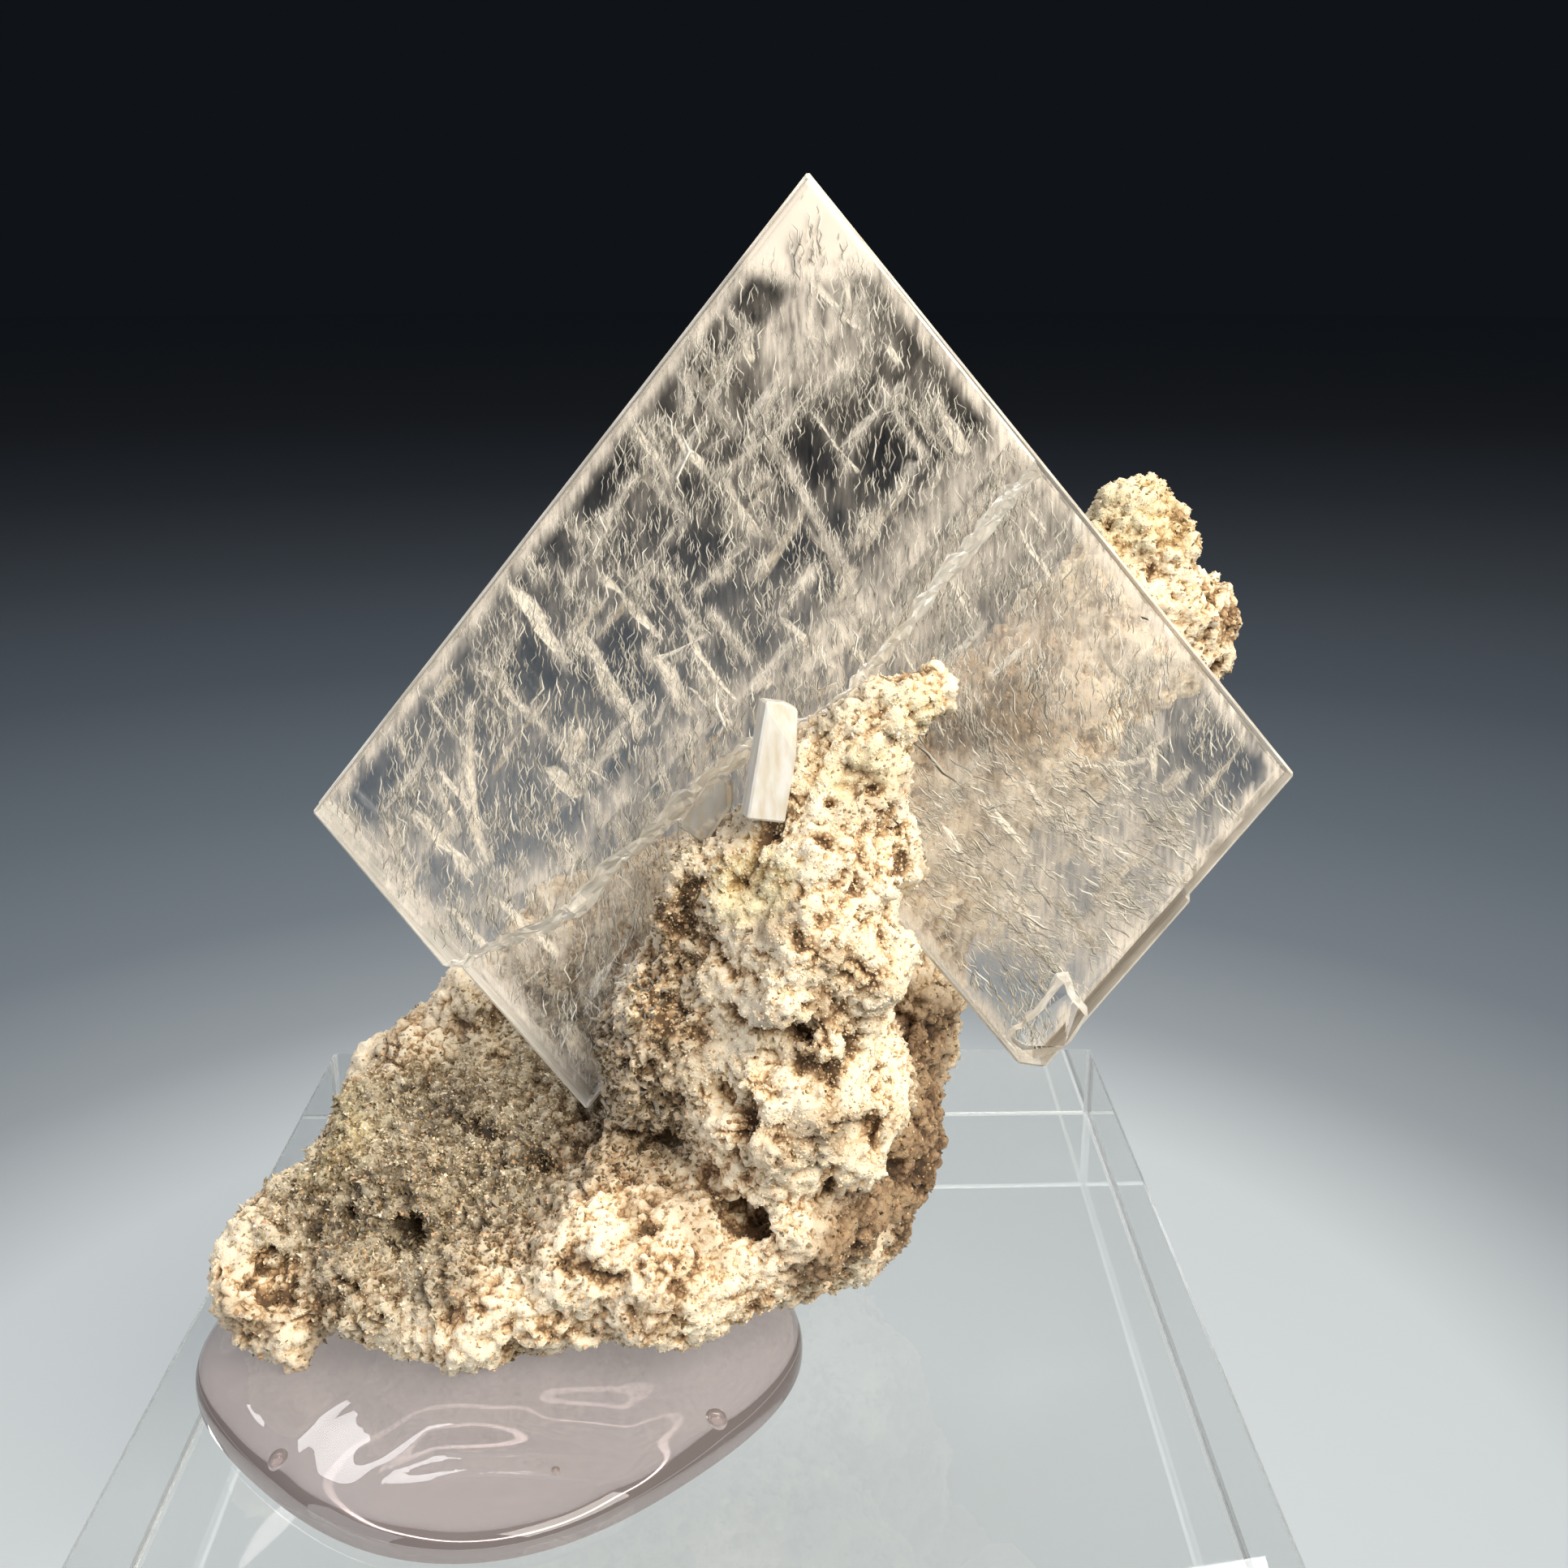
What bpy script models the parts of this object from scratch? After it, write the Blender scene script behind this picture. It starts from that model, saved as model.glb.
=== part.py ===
"""Barite plate on porous rock, held by clear gel on an acrylic block.

Run it with: blender --background --python part.py
Metres, +Z up. The origin is the middle of the block's underside, the front faces -Y.
Sizes below are millimetres and become metres through MM.
"""

from math import atan2, cos, pi, radians, sin

import bmesh
import bpy
from mathutils import Matrix, Vector

MM = 0.001

# Clearance between neighbouring pieces, so that no two of them overlap
GAP = 0.3

# Acrylic block, a 3 by 3 by 3/4 inch display base
BLOCK_SIDE = 76.2
BLOCK_HEIGHT = 19.05
BLOCK_EDGE = 0.4

# Gel blob: a low dome with a slightly squared footprint
GEL_CENTRE = (-14.0, -11.9)
GEL_RADIUS = 21.0
GEL_SQUARENESS = 0.8
GEL_HEIGHT = 7.0
GEL_RIM_POWER = 2.6
GEL_SIDES = 48
GEL_RINGS = 12

# Barite plate: its own frame has x to the right, y up and z out of the front face
PLATE_ORIGIN = (4.0, -8.0, 70.0)
PLATE_LEAN = radians(8.0)
PLATE_TURN = radians(-2.5)
PLATE_TOP = (3.9, 31.1)
PRISM_ANGLE = radians(79.0)
PRISM_TILT = radians(0.75)
LEFT_EDGE = 53.2
RIGHT_EDGE = 50.9
LOWER_LEFT_EDGE = 28.2
LOWER_RIGHT_EDGE = 27.4
TIP_CUT = 1.3
REAR_LAYER = 6.5
FRONT_LAYER = 3.0
LAYER_LAP = 1.0
FRONT_INSET = 0.45
EDGE_BEVEL = 0.35
STEP_SLOPE = 1.6

# Jagged step that ends the front layer, from the lower left edge to the right edge
FRONT_STEP = [
    (-20.3, -20.9), (-17.3, -19.4), (-15.1, -18.5), (-11.8, -16.8), (-9.6, -13.9),
    (-6.3, -11.0), (-3.1, -8.0), (0.2, -5.0), (3.9, -3.6), (7.0, -2.0), (8.6, 0.7),
    (11.2, 3.9), (14.3, 7.5), (16.3, 10.6), (18.6, 12.8),
]

# Small raised tablet on the lower right tip, and the low growth step on the edge above it
TIP_TABLET = [(21.4, -21.6), (23.6, -24.2), (22.2, -26.6), (20.0, -27.8), (18.0, -26.2)]
TIP_TABLET_RISE = 0.7
EDGE_STEP_FROM_TIP = 16.6
EDGE_STEP_OUT = 0.35

# Stubby prism in front of the plate
PRISM_BASE = (5.0, -17.4, 61.6)
PRISM_LENGTH = 7.5
PRISM_WIDTH = 2.5
PRISM_DEPTH = 1.8
PRISM_LEAN = radians(11.0)
PRISM_SPIN = radians(15.0)
PRISM_BEVEL = 0.15

# Clear tablet beside the prism
TABLET_BASE = (0.4, -13.6, 59.3)
TABLET_LENGTH = 4.6
TABLET_WIDTH = 2.2
TABLET_DEPTH = 1.0
TABLET_LEAN = radians(33.0)
TABLET_BEVEL = 0.2

# Rock lumps: centre, then half sizes, then the tilt about Y in degrees
ROCK_LUMPS = [
    # The foot that runs out to the left
    ((-30.6, -14.5, 26.0), (3.6, 4.4, 3.8), 0),
    ((-28.5, -15.5, 24.6), (3.4, 4.0, 3.0), 0),
    ((-28.2, -11.0, 28.6), (4.6, 5.4, 3.9), -20),
    ((-22.5, -9.0, 30.0), (7.5, 8.0, 6.0), -25),
    ((-20.0, -15.5, 26.6), (7.0, 5.8, 4.2), 8),
    ((-14.0, -15.5, 27.2), (9.0, 7.2, 5.2), 0),
    ((-3.5, -15.0, 29.8), (9.5, 8.2, 6.2), -4),
    ((5.5, -11.5, 31.0), (8.0, 9.0, 6.5), 0),
    # The slope that climbs behind the plate's lower left tip
    ((-12.0, -3.0, 30.5), (13.0, 11.0, 8.0), -10),
    ((-22.6, -2.5, 30.5), (6.5, 8.0, 6.3), -35),
    ((-20.5, 1.5, 33.5), (6.0, 6.5, 5.6), -42),
    ((-16.2, 3.5, 38.2), (5.2, 5.6, 5.6), -42),
    ((-8.0, 4.0, 41.0), (8.0, 7.0, 9.0), 0),
    # The spine in front of the plate, and the web through the notch that holds it
    ((6.0, -6.0, 46.0), (7.0, 9.0, 10.0), 0),
    ((7.3, -13.5, 41.0), (8.0, 7.5, 8.5), 0),
    ((7.8, -15.0, 50.5), (6.6, 6.2, 8.5), 0),
    ((9.0, -14.5, 58.0), (6.2, 5.0, 6.0), 0),
    ((10.0, -13.6, 62.4), (4.6, 3.6, 4.0), 0),
    ((11.2, -13.0, 64.8), (3.4, 2.8, 2.2), 0),
    ((3.6, -14.0, 58.0), (3.4, 3.8, 3.2), 0),
    ((1.4, -12.5, 52.5), (3.8, 4.4, 7.0), 8),
    ((-1.6, -12.0, 44.0), (4.6, 5.5, 6.8), 10),
    # The yellow lump on top of the spine
    ((13.2, -13.2, 67.4), (3.1, 2.8, 2.5), -20),
    ((15.6, -12.8, 68.9), (3.0, 2.6, 2.3), -35),
    # The right flank and the core behind the plate
    ((14.0, -3.0, 33.0), (4.5, 7.5, 8.0), 0),
    ((16.2, 1.5, 41.5), (4.6, 7.0, 6.5), 0),
    ((10.0, -4.0, 26.8), (6.0, 8.5, 5.5), 0),
    ((4.0, 5.0, 36.0), (13.0, 9.5, 11.0), 0),
    ((2.0, 3.5, 46.5), (9.5, 8.0, 8.0), 20),
    # The ridge behind the plate, up to the knob at the right
    ((13.0, 4.0, 51.5), (10.0, 8.5, 9.0), 35),
    ((18.5, 6.5, 57.5), (8.0, 7.0, 7.5), 35),
    ((24.5, 4.5, 61.5), (7.6, 7.6, 8.2), 35),
    ((28.5, 6.5, 67.0), (6.8, 6.0, 6.0), 35),
    ((31.5, 4.8, 70.0), (6.0, 6.0, 6.6), 35),
    ((33.0, 4.5, 75.6), (4.2, 4.4, 4.4), 0),
    ((37.0, 5.5, 68.6), (3.4, 4.6, 5.2), 20),
]

# Pits and cracks: centre, then half sizes, then the tilt about Y in degrees
ROCK_PITS = [
    # Holes in the front of the spine and the foot
    ((2.4, -19.5, 42.6), (1.5, 3.4, 1.7), -25),
    ((5.6, -20.0, 45.9), (1.3, 2.6, 2.0), 35),
    ((3.6, -18.8, 33.8), (2.4, 3.4, 1.2), 12),
    ((11.2, -19.6, 40.6), (1.7, 2.6, 1.3), 0),
    ((14.6, -10.4, 33.0), (1.2, 2.4, 1.2), 0),
    ((-29.2, -17.5, 28.7), (1.6, 2.6, 1.5), 0),
    ((-20.0, -15.0, 30.6), (2.2, 2.6, 1.4), -25),
    ((4.6, -17.4, 60.6), (1.2, 2.4, 0.9), 30),
    # Cracks: the slot on the slope, the ledge under the spine, the groove on its left flank
    ((-15.7, -9.5, 36.3), (2.9, 2.4, 0.9), -8),
    ((7.2, -20.0, 48.0), (4.4, 2.2, 0.9), 14),
    ((-0.5, -16.6, 51.0), (1.1, 2.0, 5.6), 10),
    ((12.2, -16.0, 66.2), (3.2, 1.6, 0.6), 18),
    # Hollows down the right side of the spine
    ((13.3, -17.2, 60.0), (1.3, 1.8, 2.2), 0),
    ((14.4, -16.4, 55.6), (1.2, 2.0, 1.8), 0),
]

ROCK_VOXEL = 0.75
PIT_VOXEL = 0.4
ROCK_LUMP_SIZE = 6.0
ROCK_LUMP_RELIEF = 3.0
ROCK_KNOB_SIZE = 3.2
ROCK_KNOB_RELIEF = 2.2
ROCK_KEEP = 0.145


def clear_scene():
    """Remove whatever the open file holds."""
    for old in list(bpy.data.objects):
        bpy.data.objects.remove(old, do_unlink=True)


def new_collection(name):
    """Return a new collection in the scene."""
    group = bpy.data.collections.new(name)
    bpy.context.scene.collection.children.link(group)
    return group


def new_material(name, colour, roughness, transmission=0.0, ior=1.5):
    """Return a Principled material with one plain finish."""
    material = bpy.data.materials.new(name)
    material.use_nodes = True
    shader = material.node_tree.nodes["Principled BSDF"]
    shader.inputs["Base Color"].default_value = (*colour, 1.0)
    shader.inputs["Roughness"].default_value = roughness
    shader.inputs["Metallic"].default_value = 0.0
    shader.inputs["Transmission Weight"].default_value = transmission
    shader.inputs["IOR"].default_value = ior
    return material


def object_from_bmesh(shape, name, group, material=None):
    """Turn a bmesh into an object in a collection."""
    mesh = bpy.data.meshes.new(name)
    shape.to_mesh(mesh)
    shape.free()
    item = bpy.data.objects.new(name, mesh)
    group.objects.link(item)
    if material is not None:
        mesh.materials.append(material)
    return item


def hide_cutter(item):
    """Mark an object as a cutter that is not part of the model."""
    item.hide_render = True
    item.display_type = "WIRE"


def baked_mesh(item, name):
    """Return a new mesh with the object's modifiers applied and its seams welded."""
    graph = bpy.context.evaluated_depsgraph_get()
    mesh = bpy.data.meshes.new_from_object(item.evaluated_get(graph))
    mesh.name = name
    shape = bmesh.new()
    shape.from_mesh(mesh)
    bmesh.ops.remove_doubles(shape, verts=shape.verts, dist=1e-6)
    shape.to_mesh(mesh)
    shape.free()
    return mesh


def add_boolean(item, other, operation):
    """Join or cut an object with another one."""
    step = item.modifiers.new(operation.title(), "BOOLEAN")
    step.operation = operation
    step.object = other
    step.solver = "EXACT"
    return step


def add_bevel(item, width, segments=1):
    """Round or chamfer the sharp edges of an object."""
    bevel = item.modifiers.new("Bevel", "BEVEL")
    bevel.width = width * MM
    bevel.segments = segments
    bevel.limit_method = "ANGLE"
    bevel.angle_limit = radians(30.0)
    return bevel


def slice_and_cap(shape, point, facing):
    """Cut a closed bmesh with a plane, drop the side it faces and close the cut."""
    everything = shape.verts[:] + shape.edges[:] + shape.faces[:]
    bmesh.ops.bisect_plane(shape, geom=everything, plane_co=point, plane_no=facing, clear_outer=True)
    rim = [edge for edge in shape.edges if edge.is_boundary]
    bmesh.ops.contextual_create(shape, geom=rim)


def outline_solid(points, low, high, name, group, material=None):
    """Extrude a flat outline between two heights, all in millimetres."""
    curve = bpy.data.curves.new(name, "CURVE")
    curve.dimensions = "2D"
    curve.fill_mode = "BOTH"
    curve.extrude = (high - low) / 2 * MM
    line = curve.splines.new("POLY")
    line.points.add(len(points) - 1)
    for spot, (x, y) in zip(line.points, points):
        spot.co = (x * MM, y * MM, 0.0, 1.0)
    line.use_cyclic_u = True
    guide = bpy.data.objects.new(name + "_outline", curve)
    group.objects.link(guide)
    bpy.context.view_layer.update()
    mesh = baked_mesh(guide, name)
    bpy.data.objects.remove(guide, do_unlink=True)
    mesh.transform(Matrix.Translation((0.0, 0.0, (high + low) / 2 * MM)))
    item = bpy.data.objects.new(name, mesh)
    group.objects.link(item)
    if material is not None:
        mesh.materials.append(material)
    return item


def ellipsoids(lumps, detail, name, group, material=None):
    """Gather tilted ellipsoids in one object, in millimetres."""
    shape = bmesh.new()
    for centre, half, tilt in lumps:
        place = Matrix.Translation(Vector(centre) * MM)
        turn = Matrix.Rotation(radians(tilt), 4, "Y")
        size = Matrix.Diagonal((*(Vector(half) * MM), 1.0))
        bmesh.ops.create_icosphere(shape, subdivisions=detail, radius=1.0, matrix=place @ turn @ size)
    return object_from_bmesh(shape, name, group, material)


def add_relief(item, kind, size, height):
    """Raise and sink an object's surface with a noise pattern, clouds or cells."""
    pattern = bpy.data.textures.new(item.name + "_relief", kind)
    pattern.noise_scale = size * MM
    relief = item.modifiers.new("Relief", "DISPLACE")
    relief.texture = pattern
    relief.texture_coords = "LOCAL"
    relief.strength = height * MM
    relief.mid_level = 0.5
    return relief


def add_remesh(item, voxel):
    """Fuse an object's overlapping shells into one skin."""
    skin = item.modifiers.new("Skin", "REMESH")
    skin.mode = "VOXEL"
    skin.voxel_size = voxel * MM
    return skin


def shrink(points, inset):
    """Return an outline moved inward by an inset, for a list that runs counter-clockwise."""
    moved = []
    for index, here in enumerate(points):
        before = Vector(points[index - 1])
        spot = Vector(here)
        after = Vector(points[(index + 1) % len(points)])
        normal_in = (spot - before).normalized().orthogonal()
        normal_out = (after - spot).normalized().orthogonal()
        middle = (normal_in + normal_out).normalized()
        moved.append(tuple(spot + middle * inset / middle.dot(normal_in)))
    return moved


def plate_directions():
    """Return the two edge directions that leave the plate's top, left-down and right-down."""
    left = -PRISM_ANGLE / 2 + PRISM_TILT
    right = PRISM_ANGLE / 2 + PRISM_TILT
    return Vector((sin(left), -cos(left))), Vector((sin(right), -cos(right)))


def rear_outline():
    """Return the rear layer's outline, counter-clockwise from the top."""
    left, right = plate_directions()
    top = Vector(PLATE_TOP)
    left_corner = top + left * LEFT_EDGE
    left_tip = left_corner + right * LOWER_LEFT_EDGE
    right_corner = top + right * RIGHT_EDGE
    right_tip = right_corner + left * LOWER_RIGHT_EDGE
    notch = left_tip - left * (LEFT_EDGE - LOWER_RIGHT_EDGE)
    step = right_corner + left * (LOWER_RIGHT_EDGE - EDGE_STEP_FROM_TIP)
    out = right * EDGE_STEP_OUT
    outline = [
        top,
        left_corner,
        left_tip,
        notch,
        right_tip - right * TIP_CUT,
        right_tip - left * TIP_CUT + out,
        step + out,
        step,
        right_corner,
    ]
    return [tuple(corner) for corner in outline]


def front_outline():
    """Return the front layer's outline, counter-clockwise from the top."""
    left, right = plate_directions()
    top = Vector(PLATE_TOP)
    left_corner = top + left * LEFT_EDGE
    rhomb = [top, left_corner, left_corner + right * RIGHT_EDGE, top + right * RIGHT_EDGE]
    return shrink(rhomb, FRONT_INSET)[:2] + FRONT_STEP


def slope_step(item):
    """Slide the foot of the front layer's broken edge outward, so that the step is a slope."""
    slide = plate_directions()[1] * STEP_SLOPE * MM
    for spot in item.data.vertices:
        flat = spot.co.xy
        near = min((flat - Vector(point) * MM).length for point in FRONT_STEP)
        if spot.co.z < 0.0 and near < MM:
            spot.co.x += slide.x
            spot.co.y += slide.y


def place_plate(item):
    """Stand an object that was made in the plate's frame in its place."""
    item.location = Vector(PLATE_ORIGIN) * MM
    item.rotation_euler = (pi / 2 - PLATE_LEAN, 0.0, PLATE_TURN)


def make_plate(grow, name, group, cutters, material=None):
    """Build the barite plate, larger all round by a clearance when it is to cut the rock."""
    rear = outline_solid(shrink(rear_outline(), -grow), -REAR_LAYER - grow, grow, name, group, material)
    front = outline_solid(
        shrink(front_outline(), -grow), -LAYER_LAP, FRONT_LAYER + grow, name + "_front_layer", cutters)
    tablet = outline_solid(
        shrink(TIP_TABLET[::-1], -grow), -LAYER_LAP, TIP_TABLET_RISE + grow, name + "_tip_tablet", cutters)
    slope_step(front)
    for item in (rear, front, tablet):
        place_plate(item)
        if grow == 0.0:
            add_bevel(item, EDGE_BEVEL)
    for layer in (front, tablet):
        hide_cutter(layer)
        add_boolean(rear, layer, "UNION")
    return rear


def make_prism(grow, name, group, material=None):
    """Build the stubby prism, a box with a slanted end, larger by a clearance if asked."""
    shape = bmesh.new()
    size = (PRISM_WIDTH + 2 * grow, PRISM_DEPTH + 2 * grow, PRISM_LENGTH + 2 * grow)
    lift = Matrix.Translation((0.0, 0.0, PRISM_LENGTH / 2 * MM))
    bmesh.ops.create_cube(shape, size=1.0, matrix=lift @ Matrix.Diagonal((*(Vector(size) * MM), 1.0)))
    slants = [
        ((0.0, 0.0, PRISM_LENGTH + grow), (0.35, -0.15, 1.0)),
        ((0.5, -PRISM_DEPTH / 2 - grow, PRISM_LENGTH * 0.72), (0.5, -1.0, 0.45)),
    ]
    for point, facing in slants:
        slice_and_cap(shape, Vector(point) * MM, facing)
    bmesh.ops.recalc_face_normals(shape, faces=shape.faces)
    item = object_from_bmesh(shape, name, group, material)
    item.location = Vector(PRISM_BASE) * MM
    item.rotation_euler = (radians(-4.0), PRISM_LEAN, PRISM_SPIN)
    return item


def make_tablet(grow, name, group, material=None):
    """Build the small clear tablet, a thin six-sided plate, larger by a clearance if asked."""
    half = TABLET_WIDTH / 2 + grow
    end = TABLET_LENGTH + grow
    outline = [
        (-half, -grow),
        (half, -grow),
        (half, TABLET_LENGTH * 0.72),
        (half * 0.2, end),
        (-half * 0.5, end),
        (-half, TABLET_LENGTH * 0.8),
    ]
    depth = TABLET_DEPTH / 2 + grow
    item = outline_solid(outline, -depth, depth, name, group, material)
    item.location = Vector(TABLET_BASE) * MM
    item.rotation_euler = (pi / 2, TABLET_LEAN, radians(-12.0))
    return item


def make_rock(group, cutters, material):
    """Fuse the lumps into one pitted rock, without the seats of the crystals."""
    lumps = ellipsoids(ROCK_LUMPS, 3, "rock_lumps", cutters)
    hide_cutter(lumps)
    add_remesh(lumps, ROCK_VOXEL)
    blend = lumps.modifiers.new("Blend", "SMOOTH")
    blend.factor = 0.5
    blend.iterations = 6
    add_relief(lumps, "CLOUDS", ROCK_LUMP_SIZE, ROCK_LUMP_RELIEF)
    add_relief(lumps, "VORONOI", ROCK_KNOB_SIZE, -ROCK_KNOB_RELIEF)
    pits = ellipsoids(ROCK_PITS, 2, "rock_pits", cutters)
    hide_cutter(pits)
    add_remesh(pits, PIT_VOXEL)
    add_boolean(lumps, pits, "DIFFERENCE")
    add_remesh(lumps, ROCK_VOXEL)
    thin = lumps.modifiers.new("Thin", "DECIMATE")
    thin.ratio = ROCK_KEEP
    bpy.context.view_layer.update()
    rock = bpy.data.objects.new("matrix", baked_mesh(lumps, "matrix"))
    rock.data.materials.append(material)
    group.objects.link(rock)
    return rock


def make_gel(rock, group, cutters, material):
    """Build the gel blob as a squashed ball with a flat foot, and press the rock into it."""
    shape = bmesh.new()
    bmesh.ops.create_uvsphere(shape, u_segments=GEL_SIDES, v_segments=2 * GEL_RINGS, radius=1.0)
    slice_and_cap(shape, (0.0, 0.0, 0.0), (0.0, 0.0, -1.0))
    foot = BLOCK_HEIGHT + GAP
    for spot in shape.verts:
        flat = spot.co.xy
        reach = min(flat.length, 1.0)
        radius = GEL_RADIUS + GEL_SQUARENESS * cos(4 * atan2(flat.y, flat.x))
        height = GEL_HEIGHT * (1.0 - reach ** GEL_RIM_POWER) ** (1.0 / GEL_RIM_POWER)
        out = Vector(GEL_CENTRE) + flat * radius
        spot.co = Vector((out.x, out.y, foot + height)) * MM
    bmesh.ops.recalc_face_normals(shape, faces=shape.faces)
    gel = object_from_bmesh(shape, "mounting_gel", group, material)
    press = bpy.data.objects.new("rock_press", rock.data.copy())
    cutters.objects.link(press)
    hide_cutter(press)
    swell = press.modifiers.new("Clearance", "DISPLACE")
    swell.strength = GAP * MM
    swell.mid_level = 0.0
    add_boolean(gel, press, "DIFFERENCE")
    return gel


def make_block(group, material):
    """Build the acrylic block with its fine edge chamfer."""
    shape = bmesh.new()
    size = Vector((BLOCK_SIDE, BLOCK_SIDE, BLOCK_HEIGHT)) * MM
    bmesh.ops.create_cube(shape, size=1.0, matrix=Matrix.Diagonal((*size, 1.0)))
    block = object_from_bmesh(shape, "acrylic_block", group, material)
    block.location.z = BLOCK_HEIGHT / 2 * MM
    add_bevel(block, BLOCK_EDGE, 2)
    return block


def main():
    """Build every piece of the specimen and its mount."""
    clear_scene()
    pieces = new_collection("barite_specimen")
    cutters = new_collection("cutters")
    acrylic = new_material("clear_acrylic", (0.95, 0.97, 0.97), 0.03, 1.0, 1.49)
    gel_finish = new_material("clear_gel", (0.93, 0.90, 0.93), 0.08, 1.0, 1.41)
    rock_finish = new_material("porous_rock", (0.62, 0.50, 0.34), 0.92)
    barite = new_material("colourless_barite", (0.90, 0.89, 0.86), 0.12, 0.9, 1.64)
    milky = new_material("milky_barite", (0.88, 0.85, 0.78), 0.25, 0.5, 1.64)

    rock = make_rock(pieces, cutters, rock_finish)
    make_gel(rock, pieces, cutters, gel_finish)
    make_block(pieces, acrylic)

    make_plate(0.0, "main_crystal", pieces, cutters, barite)
    prism = make_prism(0.0, "prism_crystal", pieces, milky)
    add_bevel(prism, PRISM_BEVEL)
    tablet = make_tablet(0.0, "tablet_crystal", pieces, barite)
    add_bevel(tablet, TABLET_BEVEL)

    seats = [
        make_plate(GAP, "plate_seat", cutters, cutters),
        make_prism(GAP, "prism_seat", cutters),
        make_tablet(GAP, "tablet_seat", cutters),
    ]
    for seat in seats:
        hide_cutter(seat)
        add_boolean(rock, seat, "DIFFERENCE")


main()
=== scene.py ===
"""Barite specimen on an acrylic block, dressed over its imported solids.

A clear tabular crystal, full of white healed cracks, stands on a porous tan rock with a
crust of tiny crystals. The rock is set in clear gel on a clear acrylic block. Sizes in the
classes are in millimetres, and the frame's sizes are in metres.
"""

from __future__ import annotations

import logging
import math
from dataclasses import dataclass
from enum import Enum

import bmesh
import bpy
import numpy as np
from mathutils import Euler, Matrix, Vector, noise


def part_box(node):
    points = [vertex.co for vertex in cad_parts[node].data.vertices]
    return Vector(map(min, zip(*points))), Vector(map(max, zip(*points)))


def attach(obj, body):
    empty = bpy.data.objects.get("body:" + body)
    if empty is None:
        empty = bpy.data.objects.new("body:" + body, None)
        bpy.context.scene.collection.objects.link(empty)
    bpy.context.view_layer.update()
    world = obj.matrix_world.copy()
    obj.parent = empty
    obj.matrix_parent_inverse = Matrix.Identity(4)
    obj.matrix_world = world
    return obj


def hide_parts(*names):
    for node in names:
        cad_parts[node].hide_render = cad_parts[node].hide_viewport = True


Tree = bpy.types.NodeTree
Node = bpy.types.Node
Shape = bmesh.types.BMesh
Mesh = bpy.types.Mesh
Piece = bpy.types.Object
Array = np.ndarray
Run = tuple[tuple[float, float], ...]
Stops = tuple[tuple[float, str], ...]

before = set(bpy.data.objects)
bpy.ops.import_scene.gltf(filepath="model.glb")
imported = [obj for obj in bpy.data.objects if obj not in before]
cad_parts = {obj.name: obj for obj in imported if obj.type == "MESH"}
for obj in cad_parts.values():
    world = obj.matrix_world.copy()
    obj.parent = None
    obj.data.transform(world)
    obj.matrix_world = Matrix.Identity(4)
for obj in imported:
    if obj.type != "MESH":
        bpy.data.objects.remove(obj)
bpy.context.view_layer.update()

MM = 0.001
# Without a seed of its own, Blender's noise vectors start from the clock.
NOISE_SEED = 7
LOG = logging.getLogger("barite_specimen")

# The crystal plate's own frame: x to the right, y up along the plate, z out of its front face.
# The skew is the sine of the angle between its sides, and the sheet is a film's thickness.
PLATE_ORIGIN = (4.0, -8.0, 70.0)
PLATE_LEAN = math.radians(8.0)
PLATE_TURN = math.radians(-2.5)
PLATE_TOP = (3.9, 31.1)
PLATE_LEFT_DIRECTION = (math.sin(math.radians(-38.75)), -math.cos(math.radians(38.75)))
PLATE_RIGHT_DIRECTION = (math.sin(math.radians(40.25)), -math.cos(math.radians(40.25)))
PLATE_LEFT_EDGE = 53.2
PLATE_RIGHT_EDGE = 50.9
PLATE_LOWER_LEFT_EDGE = 28.2
PLATE_LOWER_RIGHT_EDGE = 27.4
PLATE_BACK = -6.5
PLATE_FRONT = 3.0
PLATE_SKEW = 0.98
STEP_SLOPE = 1.7
SHEET = 0.03
# The numbers of the plate's side faces by their finish; its clear faces are number 0.
ETCHED_FACE = 1
BROKEN_FACE = 2
FRONT_STEP = ((-20.3, -20.9), (-17.3, -19.4), (-15.1, -18.5), (-11.8, -16.8), (-9.6, -13.9),
              (-6.3, -11.0), (-3.1, -8.0), (0.2, -5.0), (3.9, -3.6), (7.0, -2.0), (8.6, 0.7),
              (11.2, 3.9), (14.3, 7.5), (16.3, 10.6), (18.6, 12.8))


class Slot(Enum):
    """The record's names of material slots for the new pieces; no piece here is given one."""

    CLEAR_CRYSTAL = "colourless_barite"
    MILKY_CRYSTAL = "milky_barite"
    ROCK = "porous_rock"
    GEL = "clear_gel"


def linear(colour: str) -> tuple[float, float, float, float]:
    """Turn an sRGB hex colour into a linear one.

    Args:
        colour: The colour as "#RRGGBB".

    Returns:
        Linear red, green, blue and an alpha of one.
    """
    parts = [int(colour[i:i + 2], 16) / 255 for i in (1, 3, 5)]
    light = [c / 12.92 if c <= 0.04045 else ((c + 0.055) / 1.055) ** 2.4 for c in parts]
    return (light[0], light[1], light[2], 1.0)


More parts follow.
